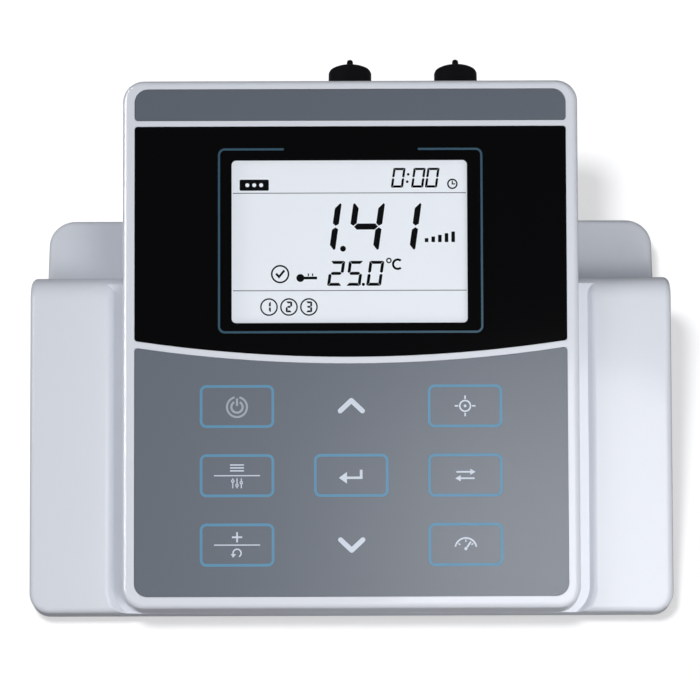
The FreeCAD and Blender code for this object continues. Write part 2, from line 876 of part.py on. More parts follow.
def shoulder_cut(profile, back, radius, level):
    """The side profile of what a rounding takes off where the slope meets the rear wall."""
    middle_y = back - radius
    middle_z = level + middle_y * TAN - radius / COS
    start = FreeCAD.Vector(middle_y - radius * SIN, middle_z + radius * COS, 0)
    end = FreeCAD.Vector(back, middle_z, 0)
    high = middle_z + 2 * radius
    past = back + 2.0
    corners = [(past, middle_z), (past, high), (middle_y - radius * SIN, high)]
    points = [end] + [FreeCAD.Vector(y, z, 0) for y, z in corners] + [start]
    lines = []
    for first, second in zip(points, points[1:]):
        lines.append(profile.addGeometry(Part.LineSegment(first, second)))
    centre = FreeCAD.Vector(middle_y, middle_z, 0)
    ring = Part.Circle(centre, FreeCAD.Vector(0, 0, 1), float(radius))
    lean = math.radians(90 + float(S.face_tilt))
    arc = profile.addGeometry(Part.ArcOfCircle(ring, 0.0, lean))
    for line, following in zip(lines, lines[1:]):
        profile.addConstraint(Sketcher.Constraint("Coincident", line, 2, following, 1))
    profile.addConstraint(Sketcher.Constraint("Coincident", lines[-1], 2, arc, 2))
    profile.addConstraint(Sketcher.Constraint("Coincident", arc, 1, lines[0], 1))
    fix(profile, "DistanceX", (-1, 1, arc, 3), middle_y)
    fix(profile, "DistanceY", (-1, 1, arc, 3), middle_z)
    fix(profile, "DistanceX", (-1, 1, arc, 1), back)
    fix(profile, "DistanceY", (-1, 1, arc, 1), middle_z)
    fix(profile, "DistanceX", (-1, 1, arc, 2), middle_y - radius * SIN)
    for line, (y, z) in zip(lines, corners):
        fix(profile, "DistanceX", (-1, 1, line, 2), y)
        fix(profile, "DistanceY", (-1, 1, line, 2), z)


def upright_front(edge, inset):
    """The two upright edges of the wings' front corners."""
    box = edge.BoundBox
    upright_edge = box.XLength < 0.01 and box.YLength < 0.01
    outside = abs(edge.CenterOfMass.x) > float(S.wing_width) / 2 - inset - 1.0
    return upright_edge and outside and box.YMin < inset + 0.1


def trough_rim(edge):
    """The upper edges of the trough's outer walls, which lie in the wings' slope."""
    slope = math.tan(math.radians(S.face_tilt))
    level = float(S.front_height - S.wing_drop / COS)
    places = [vertex.Point for vertex in edge.Vertexes] + [edge.CenterOfMass]
    high = all(abs(place.z - level - place.y * slope) < 0.02 for place in places)
    inside = all(abs(place.x) < float(S.wing_width) / 2 - 0.5 for place in places)
    front_line = all(place.y < 0.01 for place in places)
    return high and inside and not front_line


def ledge_rim(edge):
    """The rim of the ledge's level top; its front part lies inside the wings."""
    return edge.BoundBox.ZMin > float(S.ledge_top) - 0.05


outer = housing_block("housing_outside", ZERO)
core = housing_block("housing_core", S.housing_wall)


def wing_rim(edge):
    """The rim of the two wings: front, front corners, sides and rear corners."""
    box = edge.BoundBox
    middle = edge.CenterOfMass
    half = float(S.wing_width) / 2
    corner = float(S.wing_front_corner)
    level = float(S.front_height - S.wing_drop / COS) - 0.05
    seam = box.YLength < 0.01 and box.ZLength > 0.5 and box.YMax < corner + 1.0
    side = box.XLength < 0.01 and abs(middle.x) > half - 0.01 and not seam
    side = side and box.ZMax > float(housing_bottom) + 0.5
    front = box.YMax < 0.01 and box.ZLength < 0.01 and box.ZMin > level
    round_corner = abs(middle.x) > half - corner and box.YMax < corner + 0.01
    return side or front or (round_corner and box.ZMin > level)


round_edges(
    outer, "wing_rim_rounding", S.wing_edge, lambda edge: wing_rim(edge) or trough_rim(edge)
)

case_screw_x = S.wing_width / 2 - S.case_screw_margin
tower_screw_x = S.console_width / 2 - S.tower_inset - S.case_screw_tower_margin
case_screw_places = [
    (-case_screw_x, S.case_screw_front),
    (case_screw_x, S.case_screw_front),
    (-case_screw_x, S.case_screw_middle),
    (case_screw_x, S.case_screw_middle),
    (-tower_screw_x, rear_wall_y - S.case_screw_back_margin),
    (tower_screw_x, rear_wall_y - S.case_screw_back_margin),
]
columns = new_body("case_post_columns")
sketch = new_sketch(columns, "case_post_plan", level=plate_high)
for x, y in case_screw_places:
    circle(sketch, x, y, S.post_diameter)
pad(columns, "case_posts_raw", sketch, tall)
shell = boolean("Part::Cut", "housing_shell", outer, core)
posts = boolean("Part::Common", "case_posts", columns, core)

cutters = []
well = face_body("well_cutter")
sketch = new_sketch(well, "well_plan", level=-(deck_drop + S.housing_wall + 1))
rectangle(sketch, ZERO, well_centre, well_width, well_length, S.well_corner)
pad(well, "well_block", sketch, S.housing_wall + 4)
cutters.append(well)

deck_holes = face_body("deck_hole_cutter")
sketch = new_sketch(deck_holes, "deck_hole_plan", level=-(deck_drop + S.housing_wall + 1))
for x, s in deck_posts:
    circle(sketch, x, s, deck_pilot + 0.3)
pad(deck_holes, "deck_hole_pins", sketch, S.housing_wall + 2)
cutters.append(deck_holes)

pilots = new_body("case_pilot_cutter")
sketch = new_sketch(pilots, "case_pilot_plan", level=plate_high - 1)
for x, y in case_screw_places:
    circle(sketch, x, y, pilot)
pad(pilots, "case_pilot_pins", sketch, S.screw_reach + 0.6)
cutters.append(pilots)

socket_places = {"cell": ZERO * S.socket_pitch, "temperature": S.socket_pitch}
rear_holes = new_body("rear_hole_cutter")
sketch = new_sketch(rear_holes, "rear_hole_plan", plane="XZ_Plane", level=-(rear_wall_y + 5))
hole = S.socket_thread + 0.3
for x in socket_places.values():
    circle(sketch, x, S.socket_height, hole)
inlet_x = -S.socket_pitch
inlet_centre = main_board_top + S.inlet_rise
inlet_height = 2 * S.inlet_rise
rectangle(sketch, inlet_x, inlet_centre, S.inlet_width + 0.5, inlet_height + 0.5, 0.6)
pad(rear_holes, "rear_hole_pins", sketch, S.housing_wall + 8)
cutters.append(rear_holes)

whole = joined("housing_whole", [shell, posts])
all_cuts = joined("housing_cuts", cutters)
lower = boolean("Part::Cut", "lower_housing", whole, all_cuts)
node(lower)

deck_screws = face_body("deck_screws")
deck_level = -(deck_drop + S.housing_wall)
deck_reach = S.housing_wall + S.seam + S.screw_reach - 0.4
screws(
    deck_screws, "deck_screw", deck_posts, deck_level,
    S.deck_screw_diameter, S.deck_screw_head, S.screw_head_height, deck_reach, True,
)
node(deck_screws)

# Base plate: it closes the housing from below and carries the main board's
# posts, the screw seats and the seats of the feet.

gap = S.housing_wall + S.base_plate_gap
plate = new_body("base_plate")


def plate_outline(name, half, near, far, radii):
    plan = new_sketch(plate, name + "_plan", level=plate_low)
    corners = [(-half, near), (half, near), (half, far), (-half, far)]
    square_outline(plan, corners, radii)
    pad(plate, name, plan, S.base_plate)


front_corner = S.wing_front_corner - S.housing_wall
plate_outline(
    "plate_front", S.wing_width / 2 - gap, gap, S.wing_back - gap,
    [front_corner, front_corner, 1.0, 1.0],
)
ledge_round = S.ledge_corner - S.housing_wall
plate_outline(
    "plate_middle", S.wing_width / 2 - S.ledge_step - gap, S.wing_back / 2, S.ledge_back - gap,
    [1.0, 1.0, ledge_round, ledge_round],
)
tower_round = S.tower_corner - S.housing_wall
plate_outline(
    "plate_back", S.console_width / 2 - S.tower_inset - gap, S.wing_back / 2, rear_wall_y - gap,
    [1.0, 1.0, tower_round, tower_round],
)

main_posts = []
for x in (-1, 1):
    for y in (main_board_front + S.main_post_inset, main_board_back - S.main_post_inset):
        main_posts.append((x * (S.main_board_width / 2 - S.main_post_inset), y))
main_board_low = main_board_top - S.board_thickness
sketch = new_sketch(plate, "main_post_plan", level=plate_high)
for x, y in main_posts:
    circle(sketch, x, y, S.post_diameter)
pad(plate, "main_posts", sketch, main_board_low - plate_high)
sketch = new_sketch(plate, "main_pilot_plan", level=main_board_low)
for x, y in main_posts:
    circle(sketch, x, y, pilot)
pocket(plate, "main_pilots", sketch, S.screw_reach)
sketch = new_sketch(plate, "case_hole_plan", level=plate_high)
for x, y in case_screw_places:
    circle(sketch, x, y, pilot + 0.3)
pocket(plate, "case_holes", sketch, S.base_plate)
seat_depth = S.screw_head_height + 0.1
sketch = new_sketch(plate, "case_seat_plan", level=plate_low)
for x, y in case_screw_places:
    circle(sketch, x, y, S.screw_head + 0.6)
pocket(plate, "case_seats", sketch, seat_depth, flip=True)
foot_places = []
for side in (-1, 1):
    front_foot_x = S.wing_width / 2 - S.front_foot_margin
    foot_places.append((side * front_foot_x, S.front_foot_y))
    foot_places.append((side * S.back_foot_x, rear_wall_y - S.back_foot_margin))
sketch = new_sketch(plate, "foot_seat_plan", level=plate_low)
for x, y in foot_places:
    circle(sketch, x, y, S.foot_diameter + 0.4)
pocket(plate, "foot_seats", sketch, S.foot_seat, flip=True)
node(plate)

case_screws = new_body("case_screws")
seat = plate_low + seat_depth
case_reach = plate_high - seat + S.screw_reach - 0.6
screws(
    case_screws, "case_screw", case_screw_places, seat,
    S.screw_diameter, S.screw_head, S.screw_head_height, case_reach, True,
)
node(case_screws)

feet = new_body("rubber_feet")
sketch = new_sketch(feet, "foot_plan", level=ZERO)
for x, y in foot_places:
    circle(sketch, x, y, S.foot_diameter)
pad(feet, "foot_discs", sketch, plate_low + S.foot_seat)
node(feet)

# Main board on its posts, with the chips, the clock battery and the ribbon
# that joins it to the board behind the face.

main_board = new_body("main_board")
sketch = new_sketch(main_board, "main_board_plan", level=main_board_low)
main_board_y = main_board_front + S.main_board_length / 2
rectangle(sketch, ZERO, main_board_y, S.main_board_width, S.main_board_length)
for x, y in main_posts:
    circle(sketch, x, y, pilot)
pad(main_board, "main_board_sheet", sketch, S.board_thickness)
node(main_board)

board_screws = new_body("board_screws")
board_reach = S.board_thickness + S.screw_reach - 0.4
screws(
    board_screws, "board_screw", main_posts, main_board_top,
    S.screw_diameter, S.screw_head, S.screw_head_height, board_reach, False,
)
node(board_screws)

chips = new_body("board_chips")
chip_list = [
    (8.0, 30.0, 14.0, 14.0, 1.6),
    (34.0, 34.0, 10.0, 8.0, 1.8),
    (34.0, 20.0, 8.0, 6.0, 1.8),
    (50.0, 28.0, 12.0, 12.0, 5.0),
    (-42.0, 44.0, 8.0, 6.0, 2.4),
]
for number, (x, back, width, length, height) in enumerate(chip_list, start=1):
    sketch = new_sketch(chips, f"chip_{number}_plan", level=main_board_top)
    rectangle(sketch, x, main_board_back - back, width, length)
    pad(chips, f"chip_{number}", sketch, height)
node(chips)

coin_y = main_board_back - S.coin_y
holder = new_body("battery_holder")
sketch = new_sketch(holder, "holder_plan", level=main_board_top)
holder_side = S.coin_diameter + 4
rectangle(sketch, S.coin_x, coin_y, holder_side, holder_side, 2.0)
pad(holder, "holder_block", sketch, S.coin_thickness)
sketch = new_sketch(holder, "holder_seat_plan", level=main_board_top + S.coin_thickness)
circle(sketch, S.coin_x, coin_y, S.coin_diameter + 0.3)
pocket(holder, "holder_seat", sketch, S.coin_thickness - 0.8)
node(holder)

coin = new_body("clock_battery")
sketch = new_sketch(coin, "coin_plan", level=main_board_top + 0.8)
circle(sketch, S.coin_x, coin_y, S.coin_diameter)
pad(coin, "coin_disc", sketch, S.coin_thickness)
node(coin)

main_header = new_body("main_header")
header_place = main_board_back - S.header_y
sketch = new_sketch(main_header, "main_header_plan", level=main_board_top)
rectangle(sketch, S.header_x, header_place, S.header_width, S.header_length)
pad(main_header, "main_header_block", sketch, S.header_height)
node(main_header)

header_s = header_place / COS - 6
panel_header = face_body("panel_header")
panel_back = S.panel_board_drop + S.board_thickness
sketch = new_sketch(panel_header, "panel_header_plan", level=-panel_back)
rectangle(sketch, S.header_x, header_s, S.header_width, S.header_length)
pad(panel_header, "panel_header_block", sketch, S.header_height, flip=True)
node(panel_header)

ribbon = new_body("ribbon_cable")
sketch = new_sketch(ribbon, "ribbon_profile", plane="YZ_Plane", level=S.header_x)
panel_drop = panel_back + S.header_height
top_y = header_s * COS + panel_drop * SIN
top_z = S.front_height + header_s * SIN - panel_drop * COS
low_z = main_board_top + S.header_height
thick = S.ribbon_thickness / 2
bend = (top_z - low_z) / 4
polygon(sketch, [
    (header_place - thick, low_z),
    (header_place + thick, low_z),
    (header_place + thick, low_z + bend),
    (top_y + thick + bend * SIN, top_z - bend * COS),
    (top_y + thick, top_z),
    (top_y - thick, top_z - 2 * thick * TAN),
    (top_y - thick + bend * SIN, top_z - bend * COS),
    (header_place - thick, low_z + bend),
])
pad(ribbon, "ribbon_band", sketch, S.header_width - 3, both=True)
node(ribbon)

# Sockets: each has a block on the main board, a threaded barrel through the
# rear wall, a nut, an insulator and a contact, and a slip-on dust cap.

def at_rear(item, x, z, y=ZERO):
    bind(item, "Placement.Base.x", x)
    bind(item, "Placement.Base.y", front_y + rear_wall_y + y)
    bind(item, "Placement.Base.z", z)


for which, x in socket_places.items():
    barrel_width = S.socket_barrel if which == "cell" else S.temperature_barrel
    reach = S.socket_barrel_reach
    thread = S.socket_thread_reach
    wall = S.housing_wall

    block = new_body(which + "_socket_block")
    sketch = new_sketch(block, which + "_block_plan", level=main_board_top)
    block_y = rear_wall_y - S.housing_wall - S.socket_block_depth / 2
    rectangle(sketch, x, block_y, S.socket_block, S.socket_block_depth)
    pad(block, which + "_block", sketch, 2 * S.socket_rise)
    node(block)

    barrel = new_body(which + "_socket", placed=False)
    turn(barrel, "PartDesign::Revolution", which + "_barrel", [
        (ZERO, -wall),
        (S.socket_thread / 2, -wall),
        (S.socket_thread / 2, thread),
        (barrel_width / 2, thread),
        (barrel_width / 2, reach),
        (ZERO, reach),
    ])
    if which == "cell":
        sketch = new_sketch(barrel, "lug_plan", plane="YZ_Plane")
        circle(sketch, reach - 3.5, ZERO, S.socket_lug_diameter)
        pad(barrel, "lug_pin", sketch, S.socket_lug, both=True)
    turn(barrel, "PartDesign::Groove", which + "_bore", [
        (ZERO, ZERO),
        (S.socket_bore / 2, ZERO),
        (S.socket_bore / 2, reach + 1),
        (ZERO, reach + 1),
    ])
    at_rear(barrel, x, S.socket_height)
    node(barrel)

    insulator = new_body(which + "_socket_insulator", placed=False)
    turn(insulator, "PartDesign::Revolution", which + "_insulator", [
        (S.contact_diameter / 2 + 0.05, ZERO),
        (S.socket_bore / 2 - 0.05, ZERO),
        (S.socket_bore / 2 - 0.05, reach * 0.55),
        (S.contact_diameter / 2 + 0.05, reach * 0.55),
    ])
    at_rear(insulator, x, S.socket_height)
    node(insulator)

    contact = new_body(which + "_socket_contact", placed=False)
    turn(contact, "PartDesign::Revolution", which + "_contact", [
        (ZERO, ZERO),
        (S.contact_diameter / 2, ZERO),
        (S.contact_diameter / 2, reach * 0.85),
        (S.contact_bore / 2, reach * 0.85),
        (S.contact_bore / 2, reach * 0.3),
        (ZERO, reach * 0.3),
    ])
    at_rear(contact, x, S.socket_height)
    node(contact)

    prism = document.addObject("Part::Prism", which + "_nut_blank")
    prism.Polygon = 6
    bind(prism, "Circumradius", S.nut_flats / 2 / cosine(Size(30.0, "30")))
    bind(prism, "Height", S.nut_thickness)
    prism.Placement.Rotation = FreeCAD.Rotation(FreeCAD.Vector(1, 0, 0), -90)
    at_rear(prism, x, S.socket_height)
    hole = document.addObject("Part::Cylinder", which + "_nut_hole")
    bind(hole, "Radius", S.socket_thread / 2 + 0.05)
    bind(hole, "Height", S.nut_thickness + 2)
    hole.Placement.Rotation = FreeCAD.Rotation(FreeCAD.Vector(1, 0, 0), -90)
    at_rear(hole, x, S.socket_height, -1.0)
    node(boolean("Part::Cut", which + "_socket_nut", prism, hole))

    cap = new_body(which + "_cap", placed=False)
    grip = S.socket_lug / 2 if which == "cell" else barrel_width / 2
    start = S.socket_thread_reach + 0.2
    outside = S.cap_diameter / 2
    turn(cap, "PartDesign::Revolution", which + "_cap_shell", [
        (ZERO, S.cap_reach - S.cap_roof),
        (grip + S.cap_gap, S.cap_reach - S.cap_roof),
        (grip + S.cap_gap, start),
        (outside, start),
        (outside, S.cap_reach),
        (ZERO, S.cap_reach),
    ])
    shoulder = float(S.cap_reach)
    wide = float(outside)
    round_edges(
        cap, which + "_cap_corner", S.cap_corner,
        lambda e: abs(e.BoundBox.YMin - shoulder) < 0.02 and abs(e.BoundBox.XMax - wide) < 0.05,
    )
    turn(cap, "PartDesign::Revolution", which + "_cap_nub", [
        (ZERO, S.cap_reach - 1.5),
        (S.nub_diameter / 2, S.cap_reach - 1.5),
        (S.nub_diameter / 2, S.cap_reach + S.nub_height - 0.6),
        (S.nub_diameter / 2 - 0.5, S.cap_reach + S.nub_height),
        (ZERO, S.cap_reach + S.nub_height),
    ])
    at_rear(cap, x, S.socket_height)
    node(cap)

# Power inlet on the main board, behind its opening in the rear wall.

inlet = new_body("power_inlet", placed=False)
half_wide, half_high = S.inlet_width, inlet_height
sketch = new_sketch(inlet, "inlet_plan", plane="XZ_Plane")
rectangle(sketch, ZERO, ZERO, half_wide, half_high)
pad(inlet, "inlet_block", sketch, S.inlet_depth)
turn(inlet, "PartDesign::Groove", "inlet_hole", [
    (ZERO, -S.inlet_bore_depth),
    (S.inlet_bore / 2, -S.inlet_bore_depth),
    (S.inlet_bore / 2, 1.0),
    (ZERO, 1.0),
])
at_rear(inlet, inlet_x, inlet_centre, -S.inlet_setback)
node(inlet)

pin = new_body("power_inlet_pin", placed=False)
turn(pin, "PartDesign::Revolution", "inlet_pin", [
    (ZERO, -S.inlet_bore_depth),
    (S.inlet_pin / 2, -S.inlet_bore_depth),
    (S.inlet_pin / 2, -1.5),
    (S.inlet_pin / 2 - 0.4, -1.1),
    (ZERO, -1.1),
])
at_rear(pin, inlet_x, inlet_centre, -S.inlet_setback)
node(pin)

# Check every object and every piece, then write the pieces.

document.recompute()
problems = 0
for item in document.Objects:
    if "Invalid" in item.State or "Error" in item.State:
        print(f"{item.Name} is {item.State}")
        problems += 1
for item in nodes:
    if item.Shape.isNull() or not item.Shape.isValid():
        print(f"{item.Label} has no valid shape")
        problems += 1
print(f"{len(nodes)} nodes, {problems} problems")
os.makedirs("parts", exist_ok=True)
for item in nodes:
    item.Shape.exportStep(f"parts/{item.Label}.step")
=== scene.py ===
import math

import bpy
from mathutils import Matrix, Vector


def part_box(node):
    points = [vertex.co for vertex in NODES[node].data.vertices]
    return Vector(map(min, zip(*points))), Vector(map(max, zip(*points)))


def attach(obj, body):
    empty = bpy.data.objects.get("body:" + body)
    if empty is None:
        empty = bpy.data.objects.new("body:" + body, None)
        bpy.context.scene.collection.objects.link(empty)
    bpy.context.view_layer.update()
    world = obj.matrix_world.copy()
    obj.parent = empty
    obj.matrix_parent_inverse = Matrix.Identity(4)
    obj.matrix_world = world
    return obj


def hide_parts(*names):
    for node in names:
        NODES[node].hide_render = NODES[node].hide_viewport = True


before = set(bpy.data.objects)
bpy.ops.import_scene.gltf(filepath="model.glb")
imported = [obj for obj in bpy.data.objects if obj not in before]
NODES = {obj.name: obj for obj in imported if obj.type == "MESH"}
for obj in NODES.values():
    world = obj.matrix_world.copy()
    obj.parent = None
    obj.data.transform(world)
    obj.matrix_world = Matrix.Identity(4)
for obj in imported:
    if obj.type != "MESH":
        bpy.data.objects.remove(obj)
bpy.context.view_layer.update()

bl_info = {
    "name": "Benchtop conductivity meter",
    "version": (1, 0, 0),
    "blender": (4, 5, 0),
    "location": "3D Viewport > Sidebar > Meter",
    "description": "Finishes, printing and display of a benchtop conductivity meter",
    "category": "Object",
}

# Prints are laid out in millimetres on the sloping face: x to the right, s up the
# slope from the console's front edge, and a level along the face's outward normal.
FACE_TILT = math.radians(15.0)
FRONT_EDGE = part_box("upper_housing")[0].y
FRONT_HEIGHT = 0.017
FACE = Matrix.Translation((0, FRONT_EDGE, FRONT_HEIGHT)) @ Matrix.Rotation(FACE_TILT, 4, "X")
PANEL_LEVEL = -0.2
GLASS_LEVEL = -3.2

# The keys: their places, the outline of a framed key and the plain arrow keys' size.
KEY_COLUMNS = (-42.6, 0.0, 42.6)
KEY_ROWS = (23.3, 49.1, 74.9)
KEY_SIZE = (27.8, 16.0)
KEY_CORNER = 2.5
ARROW_KEY_SIZE = (17.0, 11.0)

# A seam of film round each key covers the gap and laps the key's edge a little.
SEAM_REACH = 1.3
SEAM_LAP = 0.04
SEAM_CORNER = 1.9
SEAM_HEIGHT = 0.00002

# The opening of the black print over the display, and the printed line round it.
WINDOW_PLACE = (-0.4, 136.7)
WINDOW_SIZE = (88.4, 61.2)
WINDOW_CORNER = 1.7
LINE_PLACE = (-0.05, 137.05)
LINE_SIZE = (99.3, 69.6)
LINE_CORNER = 2.6
LINE_OPENING = (-25.0, 25.4)

# The socket caps: y of the bore's floor and of the flat end, and the bores' radii.
CAP_BORE_FLOOR = 0.0984
CAP_END = 0.1006
CAP_BORES = {"cell_cap": 0.00595, "temperature_cap": 0.00645}
CAP_STEPS = 72

# Sockets of a Mix node, which are found by number because their names repeat.
MIX_FACTOR = 0
MIX_COLOUR_LOW = 6
MIX_COLOUR_HIGH = 7
MIX_COLOUR_RESULT = 2
MIX_VALUE_LOW = 2
MIX_VALUE_HIGH = 3

# The camera, fitted to the photograph: its turn and rise about the point it looks at,
# and its focal length in pixels of the photograph.
PHOTO_WIDTH = 700
FOCAL_PIXELS = 2407.4
SENSOR_WIDTH = 36.0
CAMERA_TURN = math.radians(-0.18)
CAMERA_RISE = math.radians(72.04)
CAMERA_DISTANCE = 0.9
CAMERA_AIM = FACE @ Vector((-0.00033, 0.0959, 0))

# One lamp casts the floor's soft shadow, the others model the meter's form. Each has
# its turn and rise in degrees, its reach and size in metres, its power in watts and
# what it lights.
LAMP_AIM = Vector((0, 0, 0.03))
LAMPS = (
    ("shadow_lamp", 146, 74, 1.38, 0.3, 16.4, "floor"),
    ("right_high_lamp", 300, 60, 0.5, 0.21, 0.79, "form"),
    ("right_low_lamp", 300, 35, 0.5, 0.21, 0.5, "form"),
    ("left_lamp", 180, 28, 1.0, 0.35, 2.82, "form"),
    ("front_lamp", 268, 62, 1.0, 0.4, 0.2, "form"),
    ("left_gloss_lamp", 168, 23, 0.9, 1.1, 34.0, "console"),
)
GLOSS_LAMP = "left_gloss_lamp"
GLOSS_LAMP_HEIGHT = 0.42


def plain(red, green, blue):
    """A colour given in screen steps of 0 to 255, as a linear one."""
    steps = [value / 255 for value in (red, green, blue)]
    return tuple(v / 12.92 if v <= 0.04045 else ((v + 0.055) / 1.055) ** 2.4 for v in steps)


class METER_PG_sizes(bpy.types.PropertyGroup):
    """Sizes of the printing, in metres."""

    print_height: bpy.props.FloatProperty(
        name="Print height", description="Thickness of printed ink on the film",
        default=0.00003, unit="LENGTH", precision=6,
    )
    outline_width: bpy.props.FloatProperty(
        name="Key outline", description="Width of the printed line round a key",
        default=0.001, unit="LENGTH", precision=5,
    )
    frame_width: bpy.props.FloatProperty(
        name="Display frame line", description="Width of the line round the display window",
        default=0.0008, unit="LENGTH", precision=5,
    )
    legend_stroke: bpy.props.FloatProperty(
        name="Legend stroke", description="Width of the strokes of the key symbols",
        default=0.0006, unit="LENGTH", precision=5,
    )
    digit_slant: bpy.props.FloatProperty(
        name="Digit slant", description="Lean of the display's digits",
        default=math.radians(8.0), subtype="ANGLE",
    )


class METER_PG_colours(bpy.types.PropertyGroup):
    """Colours of the housing, the films, the prints and the display."""

    housing: bpy.props.FloatVectorProperty(
        name="Housing", description="Moulded plastic of the console and the base",
        subtype="COLOR", size=3, default=plain(226, 229, 237),
    )
    film: bpy.props.FloatVectorProperty(
        name="Film", description="Grey film of the keypad and the top strip",
        subtype="COLOR", size=3, default=plain(93, 100, 111),
    )
    mask: bpy.props.FloatVectorProperty(
        name="Display black", description="Black print behind the display's lens",
        subtype="COLOR", size=3, default=plain(3, 3, 4),
    )
    outline: bpy.props.FloatVectorProperty(
        name="Outline blue", description="Printed line round the keys",
        subtype="COLOR", size=3, default=plain(92, 147, 179),
    )
    frame_line: bpy.props.FloatVectorProperty(
        name="Frame teal", description="Printed line round the display window",
        subtype="COLOR", size=3, default=plain(40, 76, 96),
    )
    legend: bpy.props.FloatVectorProperty(
        name="Legend white", description="Symbols on the keys",
        subtype="COLOR", size=3, default=plain(214, 222, 234),
    )
    legend_soft: bpy.props.FloatVectorProperty(
        name="Legend grey", description="Fainter symbol on the power key",
        subtype="COLOR", size=3, default=plain(168, 174, 184),
    )
    glass: bpy.props.FloatVectorProperty(
        name="Display pale", description="Lit ground of the display",
        subtype="COLOR", size=3, default=plain(226, 231, 238),
    )
    segment: bpy.props.FloatVectorProperty(
        name="Segment dark", description="Dark segments and marks of the display",
        subtype="COLOR", size=3, default=plain(6, 7, 10),
    )
    rubber: bpy.props.FloatVectorProperty(
        name="Rubber", description="Socket caps and feet",
        subtype="COLOR", size=3, default=plain(8, 8, 12),
    )


def sizes():
    return bpy.context.scene.meter_sizes


def colours():
    return bpy.context.scene.meter_colours


# Shader helpers.

def reckon(tree, operation, *values):
    """The result of a Math node whose inputs are sockets or numbers."""
    node = tree.nodes.new("ShaderNodeMath")
    node.operation = operation
    for entry, value in zip(node.inputs, values):
        if isinstance(value, bpy.types.NodeSocket):
            tree.links.new(value, entry)
        else:
            entry.default_value = value
    return node.outputs[0]


def colour_mix(tree, factor, low, high):
    """The result of a mix of two plain colours."""
    blend = tree.nodes.new("ShaderNodeMix")
    blend.data_type = "RGBA"
    blend.inputs[MIX_COLOUR_LOW].default_value = (*low, 1)
    blend.inputs[MIX_COLOUR_HIGH].default_value = (*high, 1)
    tree.links.new(factor, blend.inputs[MIX_FACTOR])
    return blend.outputs[MIX_COLOUR_RESULT]


def toned(colour, factor):
    return tuple(min(1.0, part * factor) for part in colour)


def grain_group():
    """Fine mould texture: a height for the bump, a tone for the gloss, a patch for the colour."""
    found = bpy.data.node_groups.get("moulded_grain")
    if found:
        return found
    group = bpy.data.node_groups.new("moulded_grain", "ShaderNodeTree")
    face = group.interface
    face.new_socket("Grain Scale", in_out="INPUT", socket_type="NodeSocketFloat")
    face.new_socket("Cloud Scale", in_out="INPUT", socket_type="NodeSocketFloat")
    for name in ("Height", "Tone", "Patch"):
        face.new_socket(name, in_out="OUTPUT", socket_type="NodeSocketFloat")
    nodes, links = group.nodes, group.links
    entry = nodes.new("NodeGroupInput")
    leave = nodes.new("NodeGroupOutput")
    place = nodes.new("ShaderNodeTexCoord")
    fine = nodes.new("ShaderNodeTexNoise")
    fine.inputs["Detail"].default_value = 3.0
    pits = nodes.new("ShaderNodeTexVoronoi")
    pits.feature = "SMOOTH_F1"
    cloud = nodes.new("ShaderNodeTexNoise")
    cloud.inputs["Detail"].default_value = 4.0
    for item, socket in ((fine, "Grain Scale"), (pits, "Grain Scale"), (cloud, "Cloud Scale")):
        links.new(place.outputs["Object"], item.inputs["Vector"])
        links.new(entry.outputs[socket], item.inputs["Scale"])
    pit_share = 0.6
    height = reckon(group, "MULTIPLY_ADD", pits.outputs["Distance"], pit_share,
                    fine.outputs["Fac"])
    links.new(height, leave.inputs["Height"])
    links.new(fine.outputs["Fac"], leave.inputs["Tone"])
    links.new(cloud.outputs["Fac"], leave.inputs["Patch"])
    return group


def new_material(name):
    material = bpy.data.materials.new(name)
    material.use_nodes = True
    shader = material.node_tree.nodes["Principled BSDF"]
    return material, material.node_tree, shader


def moulded(name, colour, roughness, grain=2600.0, bump=0.12, spread=0.03, metal=0.0, level=0.5):
    """A finish with a fine surface grain and faint changes of tone and gloss."""
    cloud_scale = 28.0
    gloss_spread = 0.06
    bump_depth = 0.0001
    material, tree, shader = new_material(name)
    group = tree.nodes.new("ShaderNodeGroup")
    group.node_tree = grain_group()
    group.inputs["Grain Scale"].default_value = grain
    group.inputs["Cloud Scale"].default_value = cloud_scale
    tone = colour_mix(tree, group.outputs["Patch"], toned(colour, 1 - spread),
                      toned(colour, 1 + spread))
    tree.links.new(tone, shader.inputs["Base Color"])
    gloss = tree.nodes.new("ShaderNodeMapRange")
    gloss.inputs["To Min"].default_value = max(0.02, roughness - gloss_spread)
    gloss.inputs["To Max"].default_value = roughness + gloss_spread
    tree.links.new(group.outputs["Tone"], gloss.inputs["Value"])
    tree.links.new(gloss.outputs[0], shader.inputs["Roughness"])
    raised = tree.nodes.new("ShaderNodeBump")
    raised.inputs["Strength"].default_value = bump
    raised.inputs["Distance"].default_value = bump_depth
    tree.links.new(group.outputs["Height"], raised.inputs["Height"])
    tree.links.new(raised.outputs["Normal"], shader.inputs["Normal"])
    shader.inputs["Metallic"].default_value = metal
    shader.inputs["Specular IOR Level"].default_value = level
    return material


def ink(name, colour, roughness=0.45):
    return moulded(name, colour, roughness, grain=5200.0, bump=0.05, spread=0.02, level=0.3)


